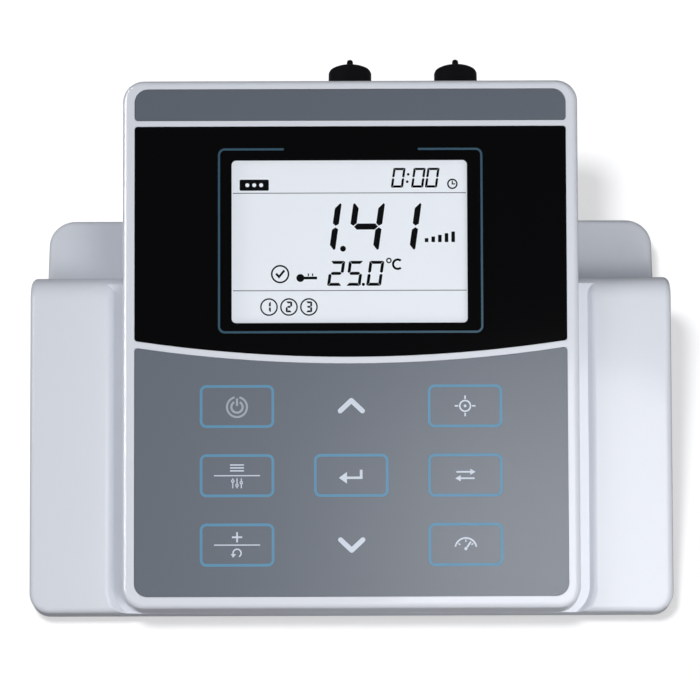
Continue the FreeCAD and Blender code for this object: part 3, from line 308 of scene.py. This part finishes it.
def window_mask(tree):
    """A value that is 1 outside the display window and 0 inside it."""
    nodes, links = tree.nodes, tree.links
    place = nodes.new("ShaderNodeTexCoord")
    lay = nodes.new("ShaderNodeMapping")
    lay.vector_type = "TEXTURE"
    x, s = WINDOW_PLACE
    lay.inputs["Location"].default_value = FACE @ Vector((x / 1000, s / 1000, 0))
    lay.inputs["Rotation"].default_value = (FACE_TILT, 0, 0)
    links.new(place.outputs["Object"], lay.inputs["Vector"])
    split = nodes.new("ShaderNodeSeparateXYZ")
    links.new(lay.outputs[0], split.inputs[0])
    corner = WINDOW_CORNER / 1000
    pair = nodes.new("ShaderNodeCombineXYZ")
    for axis, length in enumerate(WINDOW_SIZE):
        far = reckon(tree, "ABSOLUTE", split.outputs[axis])
        past = reckon(tree, "SUBTRACT", far, length / 2000 - corner)
        links.new(reckon(tree, "MAXIMUM", past, 0.0), pair.inputs[axis])
    reach = nodes.new("ShaderNodeVectorMath")
    reach.operation = "LENGTH"
    links.new(pair.outputs[0], reach.inputs[0])
    return reckon(tree, "GREATER_THAN", reach.outputs["Value"], corner)


def lens_material():
    """Black print with a clear window, under a smooth surface."""
    material, tree, shader = new_material("display_lens_black_print")
    shader.inputs["Base Color"].default_value = (*colours().mask, 1)
    shader.inputs["Roughness"].default_value = 0.12
    shader.inputs["Specular IOR Level"].default_value = 0.03
    alpha = tree.nodes.new("ShaderNodeMapRange")
    alpha.inputs["To Min"].default_value = 0.03
    alpha.inputs["To Max"].default_value = 1.0
    tree.links.new(window_mask(tree), alpha.inputs["Value"])
    tree.links.new(alpha.outputs[0], shader.inputs["Alpha"])
    return material


def glow_material(name, colour, strength, roughness):
    """The display's lit ground, with a faint unevenness of the light behind it."""
    cloud_scale = 9.0
    spread = 0.04
    ground_share = 0.45
    material, tree, shader = new_material(name)
    place = tree.nodes.new("ShaderNodeTexCoord")
    cloud = tree.nodes.new("ShaderNodeTexNoise")
    cloud.inputs["Scale"].default_value = cloud_scale
    tree.links.new(place.outputs["Object"], cloud.inputs["Vector"])
    light = colour_mix(tree, cloud.outputs["Fac"], toned(colour, 1 - spread),
                       toned(colour, 1 + spread))
    tree.links.new(light, shader.inputs["Emission Color"])
    shader.inputs["Base Color"].default_value = (*toned(colour, ground_share), 1)
    shader.inputs["Emission Strength"].default_value = strength
    shader.inputs["Roughness"].default_value = roughness
    return material


def dress(names, material):
    """Puts one material into every slot of the named nodes."""
    for name in names:
        item = NODES[name]
        if not item.material_slots:
            item.data.materials.append(material)
        for slot in item.material_slots:
            slot.material = material


# Studio helpers.

def seen_directly(tree, mirrored=1.0):
    """1 for what the camera sees, also through a lens, and mirrored for what gloss reflects."""
    path = tree.nodes.new("ShaderNodeLightPath")
    seen = reckon(tree, "MAXIMUM", path.outputs["Is Camera Ray"],
                  path.outputs["Is Transmission Ray"])
    share = reckon(tree, "MULTIPLY", path.outputs["Is Glossy Ray"], mirrored)
    return reckon(tree, "MAXIMUM", seen, share)


def floor_material():
    """White where it is seen, and dark for the light that it throws back."""
    mirrored = 0.1
    glow = 0.56
    material, tree, shader = new_material("studio_floor_white")
    seen = seen_directly(tree, mirrored)
    tone = colour_mix(tree, seen, (0.1, 0.1, 0.103), (0.46, 0.46, 0.465))
    tree.links.new(tone, shader.inputs["Base Color"])
    tree.links.new(reckon(tree, "MULTIPLY", seen, glow), shader.inputs["Emission Strength"])
    shader.inputs["Emission Color"].default_value = (1, 1, 1, 1)
    shader.inputs["Roughness"].default_value = 1.0
    shader.inputs["Specular IOR Level"].default_value = 0.0
    return material


def pale_world(context):
    """Soft light from above that fades towards the horizon; white where it is seen."""
    horizon, zenith = 0.11, 0.39
    world = context.scene.world or bpy.data.worlds.new("studio_world")
    context.scene.world = world
    world.use_nodes = True
    tree = world.node_tree
    nodes, links = tree.nodes, tree.links
    ground = nodes["Background"]
    ground.inputs["Color"].default_value = (0.93, 0.96, 1.0, 1)
    place = nodes.new("ShaderNodeTexCoord")
    split = nodes.new("ShaderNodeSeparateXYZ")
    links.new(place.outputs["Generated"], split.inputs[0])
    sky = nodes.new("ShaderNodeMapRange")
    sky.inputs["From Min"].default_value = 0.0
    sky.inputs["From Max"].default_value = 1.0
    sky.inputs["To Min"].default_value = horizon
    sky.inputs["To Max"].default_value = zenith
    links.new(split.outputs["Z"], sky.inputs["Value"])
    choose = nodes.new("ShaderNodeMix")
    choose.data_type = "FLOAT"
    links.new(seen_directly(tree), choose.inputs[MIX_FACTOR])
    links.new(sky.outputs[0], choose.inputs[MIX_VALUE_LOW])
    choose.inputs[MIX_VALUE_HIGH].default_value = 1.0
    links.new(choose.outputs[0], ground.inputs["Strength"])


def light_groups(floor):
    """Collections that say what a lamp lights: the floor, all but it, or the console."""
    groups = {name: bpy.data.collections.new("studio_" + name + "_light")
              for name in ("floor", "form", "console")}
    groups["floor"].objects.link(floor)
    groups["form"].objects.link(floor)
    groups["form"].collection_objects[0].light_linking.link_state = "EXCLUDE"
    groups["console"].objects.link(NODES["upper_housing"])
    return groups


def outward(turn, rise):
    """A unit vector by its turn about the vertical and its rise, in degrees."""
    turn, rise = math.radians(turn), math.radians(rise)
    return Vector((math.cos(turn) * math.cos(rise), math.sin(turn) * math.cos(rise),
                   math.sin(rise)))


def add_lamp(name, turn, rise, reach, size, power, group):
    away = outward(turn, rise)
    bpy.ops.object.light_add(type="AREA", location=LAMP_AIM + away * reach)
    lamp = bpy.context.object
    lamp.name = name
    lamp.data.shape = "DISK"
    lamp.data.size = size
    lamp.data.energy = power
    lamp.rotation_euler = (-away).to_track_quat("-Z", "Y").to_euler()
    lamp.light_linking.receiver_collection = group
    return lamp


def add_camera(context):
    back = Vector((math.sin(CAMERA_TURN) * math.cos(CAMERA_RISE),
                   -math.cos(CAMERA_TURN) * math.cos(CAMERA_RISE), math.sin(CAMERA_RISE)))
    right = Vector((math.cos(CAMERA_TURN), math.sin(CAMERA_TURN), 0))
    bpy.ops.object.camera_add(location=CAMERA_AIM + back * CAMERA_DISTANCE)
    camera = context.object
    camera.name = "photo_camera"
    axes = Matrix((right, back.cross(right), back)).transposed()
    camera.rotation_euler = axes.to_euler()
    camera.data.sensor_width = SENSOR_WIDTH
    camera.data.lens = SENSOR_WIDTH * FOCAL_PIXELS / PHOTO_WIDTH
    camera.data.clip_start = 0.01
    context.scene.camera = camera


# Outline helpers: every outline is a list of (x, s) points in millimetres.

def rounded(x, s, width, length, corner, steps=8):
    """A rectangle with round corners, from the middle of its right end anticlockwise."""
    points = []
    for turn, (side, end) in enumerate(((1, 1), (-1, 1), (-1, -1), (1, -1))):
        middle_x = x + side * (width / 2 - corner)
        middle_s = s + end * (length / 2 - corner)
        for step in range(steps + 1):
            angle = math.pi / 2 * (turn + step / steps)
            points.append((middle_x + corner * math.cos(angle), middle_s + corner * math.sin(angle)))
    return points


def disc(x, s, radius, steps=40):
    turns = [2 * math.pi * step / steps for step in range(steps)]
    return [(x + radius * math.cos(a), s + radius * math.sin(a)) for a in turns]


def ring(x, s, radius, stroke):
    return [disc(x, s, radius + stroke / 2), disc(x, s, radius - stroke / 2)]


def frame_ring(x, s, width, length, corner, stroke):
    inner = rounded(x, s, width - 2 * stroke, length - 2 * stroke, max(0.2, corner - stroke))
    return [rounded(x, s, width, length, corner), inner]


def bar(x0, s0, x1, s1, stroke):
    """A straight stroke with square ends."""
    along = Vector((x1 - x0, s1 - s0)).normalized()
    across = Vector((-along.y, along.x)) * stroke / 2
    ends = [Vector((x0, s0)), Vector((x1, s1))]
    points = [ends[0] + across, ends[0] - across, ends[1] - across, ends[1] + across]
    return [(p.x, p.y) for p in points]


def band(x, s, radius, stroke, start, end, steps=24):
    """A curved stroke from one angle to another, in degrees."""
    angles = [math.radians(start + (end - start) * step / steps) for step in range(steps + 1)]
    outer = [(x + (radius + stroke / 2) * math.cos(a), s + (radius + stroke / 2) * math.sin(a))
             for a in angles]
    inner = [(x + (radius - stroke / 2) * math.cos(a), s + (radius - stroke / 2) * math.sin(a))
             for a in reversed(angles)]
    return outer + inner


def placed(x, s, points):
    """Points given from a middle, moved to it."""
    return [(x + px, s + ps) for px, ps in points]


SEGMENTS = {
    "0": "abcdef", "1": "bc", "2": "abged", "3": "abgcd", "4": "fgbc", "5": "afgcd",
}


def digit(mark, x, s, width, height, stroke, slant):
    """The lit segments of one seven-segment digit, its lower left corner at x, s.

    The segments' ends are mitred and a little blunt, in shares of the stroke.
    """
    gap = stroke * 0.13
    half = stroke / 2
    middle = height / 2
    near, far = stroke + gap, width - stroke - gap
    level = [(gap + half / 2, height), (width - gap - half / 2, height),
             (width - gap - half * 0.6, height - half / 2), (far, height - stroke),
             (near, height - stroke), (gap + half * 0.6, height - half / 2)]
    upright = [(width - half * 0.5, height - gap), (width, height - gap - half * 0.4),
               (width, middle + gap + half * 0.6), (width - half, middle + gap),
               (width - stroke, middle + gap + half * 0.8),
               (width - stroke, height - stroke * 0.85 - gap)]
    centre_bar = [(half + gap, middle), (near, middle + half), (far, middle + half),
                  (width - half - gap, middle), (far, middle - half), (near, middle - half)]
    shapes = {
        "a": level,
        "b": upright,
        "c": [(px, height - py) for px, py in upright],
        "d": [(px, height - py) for px, py in level],
        "e": [(width - px, height - py) for px, py in upright],
        "f": [(width - px, py) for px, py in upright],
        "g": centre_bar,
    }
    return [[(x + px + py * math.tan(slant), s + py) for px, py in shapes[name]]
            for name in SEGMENTS[mark]]


def chevron(x, s, reach, rise, stroke, steps=10):
    """An arrow head drawn with a round pen; a negative rise points it forwards."""
    high = abs(rise) / 2
    way = math.copysign(1, rise)
    half = stroke / 2
    lean = math.degrees(math.atan2(2 * high, reach))
    points = [(0, high - half / math.cos(math.radians(lean)))]
    for middle, low, start, end in (
        (reach, -high, -90 - lean, 90 - lean),
        (0, high, 90 - lean, 90 + lean),
        (-reach, -high, 90 + lean, 270 + lean),
    ):
        for step in range(steps + 1):
            angle = math.radians(start + (end - start) * step / steps)
            points.append((middle + half * math.cos(angle), low + half * math.sin(angle)))
    return [(x + px, s + ps * way) for px, ps in points]


def open_frame_line(stroke):
    """The line round the window, open for a stretch in the middle of its top edge."""
    x, s = LINE_PLACE
    width, length = LINE_SIZE
    outer = rounded(x, s, width, length, LINE_CORNER)
    inner = rounded(x, s, width - 2 * stroke, length - 2 * stroke, LINE_CORNER - stroke)
    left, right = LINE_OPENING
    top, low = s + length / 2, s + length / 2 - stroke
    quarter = len(outer) // 4
    walk_out = outer[quarter:] + outer[:quarter]
    walk_in = inner[quarter:] + inner[:quarter]
    ends = [(left, low), (left, top)], [(right, top), (right, low)]
    return ends[0] + walk_out + ends[1] + list(reversed(walk_in))


# Makers of pieces: flat prints and turned rubber.

def stamp(name, groups, level, body, material, thickness=None):
    """Flat prints on the face: each group of outlines is filled, holes kept open."""
    thick = thickness or sizes().print_height
    made = []
    for outlines in groups:
        bpy.ops.object.select_all(action="DESELECT")
        bpy.ops.object.add(type="CURVE", location=(0, 0, 0))
        item = bpy.context.object
        item.name = name
        curve = item.data
        curve.dimensions = "2D"
        curve.fill_mode = "BOTH"
        curve.extrude = thick / 2
        for outline in outlines:
            spline = curve.splines.new("POLY")
            spline.points.add(len(outline) - 1)
            for point, (x, s) in zip(spline.points, outline):
                point.co = (x / 1000, s / 1000, 0, 1)
            spline.use_cyclic_u = True
        bpy.ops.object.convert(target="MESH")
        made.append(bpy.context.object)
    bpy.ops.object.select_all(action="DESELECT")
    for item in made:
        item.select_set(True)
    bpy.context.view_layer.objects.active = made[0]
    if len(made) > 1:
        bpy.ops.object.join()
    item = bpy.context.object
    item.matrix_world = FACE @ Matrix.Translation((0, 0, level / 1000 + thick / 2))
    bpy.ops.object.transform_apply(location=True, rotation=True, scale=True)
    item.name = name
    item.data.materials.clear()
    item.data.materials.append(material)
    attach(item, body)
    return item


def spun(name, profile, centre, material):
    """A piece turned about a line along y through centre, from (radius, y) points."""
    first = profile[0]
    bpy.ops.object.select_all(action="DESELECT")
    bpy.ops.mesh.primitive_plane_add(size=0.001, location=(centre.x + first[0], first[1], centre.z))
    piece = bpy.context.object
    bpy.ops.object.transform_apply(location=True, rotation=True, scale=True)
    bpy.ops.object.mode_set(mode="EDIT")
    bpy.ops.mesh.select_all(action="SELECT")
    bpy.ops.mesh.merge(type="CENTER")
    for (near, start), (far, end) in zip(profile, profile[1:]):
        bpy.ops.mesh.extrude_vertices_move(
            TRANSFORM_OT_translate={"value": (far - near, end - start, 0)})
    bpy.ops.mesh.select_all(action="SELECT")
    bpy.ops.mesh.spin(steps=CAP_STEPS, angle=2 * math.pi, center=centre, axis=(0, 1, 0))
    bpy.ops.mesh.select_all(action="SELECT")
    bpy.ops.mesh.remove_doubles(threshold=0.00001)
    bpy.ops.mesh.normals_make_consistent(inside=False)
    bpy.ops.object.mode_set(mode="OBJECT")
    bpy.ops.object.shade_smooth_by_angle(angle=math.radians(32))
    piece.name = name
    piece.data.materials.append(material)
    return piece


# Symbols of the keys, each about its middle x, s. Each returns groups of outlines.

def power_symbol(x, s):
    low = s - 0.2
    return [[band(x, low, 2.1, 0.8, 120, 420)], [bar(x, s + 0.2, x, s + 3.0, 0.8)],
            [band(x, low, 3.75, 0.75, 104, 436)]]


def enter_symbol(x, s):
    return [[placed(x, s, [(-4.6, -0.9), (-1.6, 1.3), (-1.6, -0.45), (3.2, -0.45), (3.2, 2.1),
                           (4.2, 2.1), (4.2, -1.35), (-1.6, -1.35), (-1.6, -3.1)])]]


def calibrate_symbol(x, s, pen):
    marks = [ring(x, s, 2.0, pen), [disc(x, s, 0.55, 20)]]
    for dx, ds in ((1, 0), (-1, 0), (0, 1), (0, -1)):
        marks.append([bar(x + dx * 2.6, s + ds * 2.6, x + dx * 3.9, s + ds * 3.9, pen)])
    return marks


def unit_symbol(x, s, pen):
    marks = []
    for lift, way in ((1.2, 1), (-1.2, -1)):
        arrow = [(-3.4, -pen / 2), (-3.4, pen / 2), (1.8, pen / 2), (1.8, 1.15), (3.8, 0.0),
                 (1.8, -1.15), (1.8, -pen / 2)]
        marks.append([[(x + px * way, s + lift + ps) for px, ps in arrow]])
    return marks


def measure_symbol(x, s, pen):
    low = s - 1.6
    marks = [[band(x, low, 4.0, pen, 10, 170)], [disc(x, low, 0.6, 20)],
             [bar(x + 0.4, s - 1.1, x + 1.9, s + 1.0, pen)]]
    for angle in (35, 90, 145):
        a = math.radians(angle)
        marks.append([bar(x + 2.5 * math.cos(a), low + 2.5 * math.sin(a),
                          x + 3.4 * math.cos(a), low + 3.4 * math.sin(a), pen * 0.8)])
    return marks


def list_symbol(x, s):
    return [[bar(x - 2.6, s + lift, x + 2.6, s + lift, 0.5)] for lift in (-1.1, 0.0, 1.1)]


def sliders_symbol(x, s):
    marks = []
    for shift, lift in ((-1.6, 1.0), (0.0, -0.6), (1.6, 0.4)):
        marks.append([bar(x + shift, s - 1.7, x + shift, s + lift - 0.55, 0.4)])
        marks.append(ring(x + shift, s + lift, 0.45, 0.35))
        marks.append([bar(x + shift, s + lift + 0.55, x + shift, s + 2.0, 0.4)])
    return marks


def plus_symbol(x, s):
    reach, half = 1.9, 0.32
    return [[placed(x, s, [
        (-reach, -half), (-half, -half), (-half, -reach), (half, -reach), (half, -half),
        (reach, -half), (reach, half), (half, half), (half, reach), (-half, reach),
        (-half, half), (-reach, half),
    ])]]


def recall_symbol(x, s):
    return [[band(x, s, 1.5, 0.5, -60, 210)],
            [placed(x, s, [(-2.35, -0.35), (-0.35, -0.35), (-1.5, -1.75)])]]


def double_symbol(x, s, upper, lower):
    """Two symbols with a line between them."""
    return [[bar(x - 8.6, s, x + 8.6, s, 0.42)]] + upper(x, s + 2.9) + lower(x, s - 3.0)


# Marks of the display, at their places on the face. Each returns groups of outlines.

def readout_marks(slant):
    """The large value, the temperature and the clock, with their points and colon."""
    marks = []
    for mark, left in (("1", -17.75), ("4", -1.43), ("1", 12.31)):
        marks.append(digit(mark, left, 133.4, 11.95, 18.3, 2.3, slant))
    marks.append([disc(-2.84, 134.2, 1.1)])
    for mark, left in (("2", -8.9), ("5", -1.9), ("0", 5.8)):
        marks.append(digit(mark, left, 120.2, 5.6, 9.4, 1.15, slant))
    marks.append([disc(4.75, 120.75, 0.6, 20)])
    for mark, left in (("0", 15.2), ("0", 22.8), ("0", 28.0)):
        marks.append(digit(mark, left, 157.2, 4.6, 7.5, 0.88, slant))
    for lift in (2.2, 5.0):
        marks.append([disc(21.1 + lift * math.tan(slant), 157.25 + lift, 0.5, 20)])
    return marks


def badge_marks():
    """A dark badge with three open dots."""
    x, s = -36.2, 158.3
    dots = [disc(x + shift, s, 0.75, 20) for shift in (-2.6, 0.0, 2.6)]
    return [[rounded(x, s, 11.0, 4.2, 0.5), *dots]]


def clock_marks():
    x, s = 38.4, 158.6
    hands = [(-0.25, -0.25), (-0.25, 1.2), (0.2, 1.2), (0.2, 0.2), (1.1, 0.2), (1.1, -0.25)]
    return [ring(x, s, 1.7, 0.55), [placed(x, s, hands)]]


def level_marks():
    """Five bars of rising height."""
    marks = []
    for step in range(5):
        x = 28.6 + step * 2.5
        marks.append([bar(x, 136.6, x, 138.1 + step * 0.62, 1.35)])
    return marks


def stable_marks():
    """A tick in a ring."""
    x, s = -26.5, 124.7
    tick = [(-1.8, -0.1), (-1.2, 0.5), (-0.4, -0.4), (1.3, 1.7), (1.9, 1.1), (-0.4, -1.7)]
    return [ring(x, s, 3.15, 0.62), [placed(x, s, tick)]]


def thermometer_marks():
    s = 123.2
    marks = [[disc(-18.9, s, 1.5)], [bar(-17.7, s, -12.6, s, 1.05)]]
    for x in (-15.9, -14.3):
        marks.append([bar(x, s + 0.7, x, s + 1.7, 0.45)])
    return marks


def degree_marks():
    return [ring(14.4, 129.7, 0.8, 0.5), [band(17.7, 128.3, 1.75, 0.85, 48, 312)]]


def range_marks():
    """The numbers 1 to 3, each in a ring."""
    marks = []
    for number, x, shift in (("1", -31.2, 0.5), ("2", -23.2, 0.0), ("3", -15.7, 0.0)):
        marks.append(ring(x + shift, 112.3, 3.05, 0.55))
        marks.append(digit(number, x - 1.2, 110.3, 2.4, 4.1, 0.72, 0.0))
    return marks


# Operators.

class METER_OT_studio(bpy.types.Operator):
    """Pale floor, soft lamps and the camera over the meter"""

    bl_idname = "meter.studio"
    bl_label = "Studio"

    def execute(self, context):
        bpy.ops.object.select_all(action="DESELECT")
        bpy.ops.mesh.primitive_plane_add(size=6.0, location=(0, 0, 0))
        floor = context.object
        floor.name = "studio_floor"
        floor.data.materials.append(floor_material())
        pale_world(context)
        groups = light_groups(floor)
        for name, turn, rise, reach, size, power, lit in LAMPS:
            lamp = add_lamp(name, turn, rise, reach, size, power, groups[lit])
            if name == GLOSS_LAMP:
                # a low strip that only draws highlights along the edges facing it
                lamp.data.shape = "RECTANGLE"
                lamp.data.size_y = GLOSS_LAMP_HEIGHT
                lamp.visible_diffuse = False
        add_camera(context)
        context.scene.view_settings.view_transform = "Standard"
        return {"FINISHED"}


class METER_OT_finishes(bpy.types.Operator):
    """Finishes of the moulded, metal, rubber and inner pieces"""

    bl_idname = "meter.finishes"
    bl_label = "Finishes"

    def execute(self, context):
        tones = colours()
        housing = moulded("housing_fine_texture", tones.housing, 0.5, grain=2200.0, bump=0.1,
                          spread=0.012, level=0.1)
        shader = housing.node_tree.nodes["Principled BSDF"]
        shader.inputs["Coat Weight"].default_value = 0.4
        shader.inputs["Coat Roughness"].default_value = 0.1
        dress(["upper_housing", "lower_housing", "base_plate"], housing)

        film = moulded("film_satin_grey", tones.film, 0.35, grain=5200.0, bump=0.06,
                       spread=0.015, level=0.5)
        keys = [name for name in NODES if name.startswith("key_") and name != "key_domes"]
        dress(["keypad_overlay", *keys], film)
        strip = moulded("strip_satin_grey", toned(tones.film, 0.85), 0.42, grain=5200.0,
                        bump=0.06, spread=0.015, level=0.45)
        dress(["top_strip"], strip)

        dress(["display_lens"], lens_material())
        dress(["lens_mask"], moulded("mask_black_print", tones.mask, 0.5, level=0.1))
        dress(["lcd_glass"], glow_material("display_lit_ground", tones.glass, 0.68, 0.5))

        rubber = moulded("rubber_fine_black", tones.rubber, 0.5, grain=1800.0, bump=0.2,
                         spread=0.06, level=0.06)
        dress(["rubber_feet", "cell_cap", "temperature_cap", "contact_strips"], rubber)

        board = moulded("board_solder_mask", plain(22, 92, 58), 0.35, grain=900.0, bump=0.1,
                        spread=0.12)
        dress(["panel_board", "main_board"], board)
        steel = moulded("screw_steel", plain(178, 180, 184), 0.32, grain=3000.0, bump=0.08,
                        spread=0.05, metal=1.0)
        dress(["key_domes", "panel_screws", "deck_screws", "case_screws", "board_screws",
               "clock_battery"], steel)
        nickel = moulded("nickel_plate", plain(196, 192, 186), 0.2, grain=2500.0, bump=0.04,
                         spread=0.04, metal=1.0)
        dress(["cell_socket", "cell_socket_nut", "temperature_socket", "temperature_socket_nut",
               "power_inlet_pin"], nickel)
        gold = moulded("gold_plate", plain(214, 172, 84), 0.22, grain=2500.0, bump=0.04,
                       spread=0.05, metal=1.0)
        dress(["cell_socket_contact", "temperature_socket_contact"], gold)
        milky = moulded("milky_plastic", plain(236, 236, 234), 0.4, grain=2000.0, bump=0.05,
                        spread=0.02)
        dress(["cell_socket_insulator", "temperature_socket_insulator", "backlight"], milky)
        black = moulded("plastic_fine_black", plain(28, 29, 32), 0.45, grain=2200.0, bump=0.15,
                        spread=0.06)
        dress(["lcd_frame", "battery_holder", "main_header", "panel_header", "power_inlet",
               "board_chips", "cell_socket_block", "temperature_socket_block"], black)
        ribbon = moulded("ribbon_pale_grey", plain(158, 161, 166), 0.5, grain=1500.0, bump=0.1,
                         spread=0.05)
        dress(["ribbon_cable"], ribbon)
        return {"FINISHED"}


class METER_OT_key_prints(bpy.types.Operator):
    """Outlines and symbols on the keys, and the film closed round them"""

    bl_idname = "meter.key_prints"
    bl_label = "Key prints"

    def execute(self, context):
        blue = ink("outline_blue_ink", colours().outline)
        white = ink("legend_white_ink", colours().legend)
        line = sizes().outline_width * 1000
        pen = sizes().legend_stroke * 1000
        left, middle, right = KEY_COLUMNS
        front, centre, back = KEY_ROWS
        framed = {
            "key_power": (left, back), "key_calibrate": (right, back),
            "key_mode": (left, centre), "key_enter": (middle, centre), "key_unit": (right, centre),
            "key_store": (left, front), "key_measure": (right, front),
        }
        for name, place in framed.items():
            shape = frame_ring(*place, *KEY_SIZE, KEY_CORNER, line)
            stamp(name + "_outline", [shape], PANEL_LEVEL, name, blue)

        film = bpy.data.materials["film_satin_grey"]
        seams = {name: (place, KEY_SIZE) for name, place in framed.items()}
        seams["key_up"] = ((middle, back), ARROW_KEY_SIZE)
        seams["key_down"] = ((middle, front), ARROW_KEY_SIZE)
        for name, ((x, s), (width, length)) in seams.items():
            outer = rounded(x, s, width + SEAM_REACH, length + SEAM_REACH, KEY_CORNER)
            inner = rounded(x, s, width - SEAM_LAP, length - SEAM_LAP, SEAM_CORNER)
            stamp(name + "_film_seam", [[outer, inner]], PANEL_LEVEL, "housing", film,
                  SEAM_HEIGHT)

        soft = ink("legend_grey_ink", colours().legend_soft)
        stamp("key_power_symbol", power_symbol(*framed["key_power"]), PANEL_LEVEL, "key_power",
              soft)
        for name, s, rise in (("key_up", 75.1, 3.9), ("key_down", 23.2, -3.9)):
            mark = [[chevron(0.1, s, 4.15, rise, 1.85)]]
            stamp(name + "_symbol", mark, PANEL_LEVEL, name, white)
        for name, marks in (
            ("key_enter", enter_symbol(*framed["key_enter"])),
            ("key_calibrate", calibrate_symbol(*framed["key_calibrate"], pen)),
            ("key_unit", unit_symbol(*framed["key_unit"], pen)),
            ("key_measure", measure_symbol(*framed["key_measure"], pen)),
        ):
            stamp(name + "_symbol", marks, PANEL_LEVEL, name, white)
        for name, upper, lower in (
            ("key_mode", list_symbol, sliders_symbol),
            ("key_store", plus_symbol, recall_symbol),
        ):
            marks = double_symbol(*framed[name], upper, lower)
            stamp(name + "_symbols", marks, PANEL_LEVEL, name, white)
        return {"FINISHED"}


class METER_OT_display(bpy.types.Operator):
    """Frame line of the display window and the readout behind it"""

    bl_idname = "meter.display"
    bl_label = "Display"

    def execute(self, context):
        teal = ink("frame_teal_ink", colours().frame_line, 0.3)
        outline = open_frame_line(sizes().frame_width * 1000)
        stamp("display_frame_line", [[outline]], PANEL_LEVEL, "housing", teal)

        dark = moulded("segment_dark", colours().segment, 0.5, grain=5200.0, bump=0.05,
                       spread=0.02, level=0.04)
        grey = ink("divider_grey", plain(120, 124, 130), 0.4)
        digits = readout_marks(sizes().digit_slant)
        stamp("display_digits", digits, GLASS_LEVEL, "housing", dark)
        icons = (badge_marks() + clock_marks() + level_marks() + stable_marks()
                 + thermometer_marks() + degree_marks() + range_marks())
        stamp("display_icons", icons, GLASS_LEVEL, "housing", dark)
        rules = [[bar(-44.2, s, 43.5, s, 0.34)] for s in (155.25, 118.45)]
        stamp("display_rules", rules, GLASS_LEVEL, "housing", grey)
        return {"FINISHED"}


class METER_OT_caps(bpy.types.Operator):
    """Rubber caps of the two sockets, each with a bore, a flat end and a pull tab"""

    bl_idname = "meter.caps"
    bl_label = "Socket caps"

    def execute(self, context):
        rubber = bpy.data.materials["rubber_fine_black"]
        for name, bore in CAP_BORES.items():
            low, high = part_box(name)
            radius = (high.x - low.x) / 2
            rim, end, tip = low.y, CAP_END, high.y
            # from the bore's floor round the open end and the flat end to the tab's tip
            profile = [
                (0.0, CAP_BORE_FLOOR), (bore, CAP_BORE_FLOOR), (bore, rim),
                (radius - 0.0004, rim), (radius, rim + 0.0004), (radius, end - 0.0011),
                (radius - 0.0003, end - 0.0004), (radius - 0.001, end),
                (0.0016, end), (0.0013, end + 0.0005), (0.0012, tip - 0.0018),
                (0.0010, tip - 0.0011), (0.0005, tip - 0.0008), (0.0, tip - 0.0007),
            ]
            cap = spun(name + "_rubber", profile, (low + high) / 2, rubber)
            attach(cap, name)
            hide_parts(name)
        return {"FINISHED"}


class METER_PT_panel(bpy.types.Panel):
    """Sizes, colours and steps of the meter"""

    bl_idname = "METER_PT_panel"
    bl_label = "Conductivity meter"
    bl_space_type = "VIEW_3D"
    bl_region_type = "UI"
    bl_category = "Meter"

    def draw(self, context):
        layout = self.layout
        for group in (context.scene.meter_sizes, context.scene.meter_colours):
            column = layout.column()
            for name in group.__annotations__:
                column.prop(group, name)
        for operator in OPERATORS:
            layout.operator(operator.bl_idname)


OPERATORS = (METER_OT_studio, METER_OT_finishes, METER_OT_key_prints, METER_OT_display,
             METER_OT_caps)
CLASSES = (METER_PG_sizes, METER_PG_colours, *OPERATORS, METER_PT_panel)


def register():
    for item in CLASSES:
        bpy.utils.register_class(item)
    bpy.types.Scene.meter_sizes = bpy.props.PointerProperty(type=METER_PG_sizes)
    bpy.types.Scene.meter_colours = bpy.props.PointerProperty(type=METER_PG_colours)


def unregister():
    del bpy.types.Scene.meter_colours
    del bpy.types.Scene.meter_sizes
    for item in reversed(CLASSES):
        bpy.utils.unregister_class(item)


def main():
    register()
    bpy.ops.meter.studio()
    bpy.ops.meter.finishes()
    bpy.ops.meter.key_prints()
    bpy.ops.meter.display()
    bpy.ops.meter.caps()


if __name__ == "__main__":
    main()
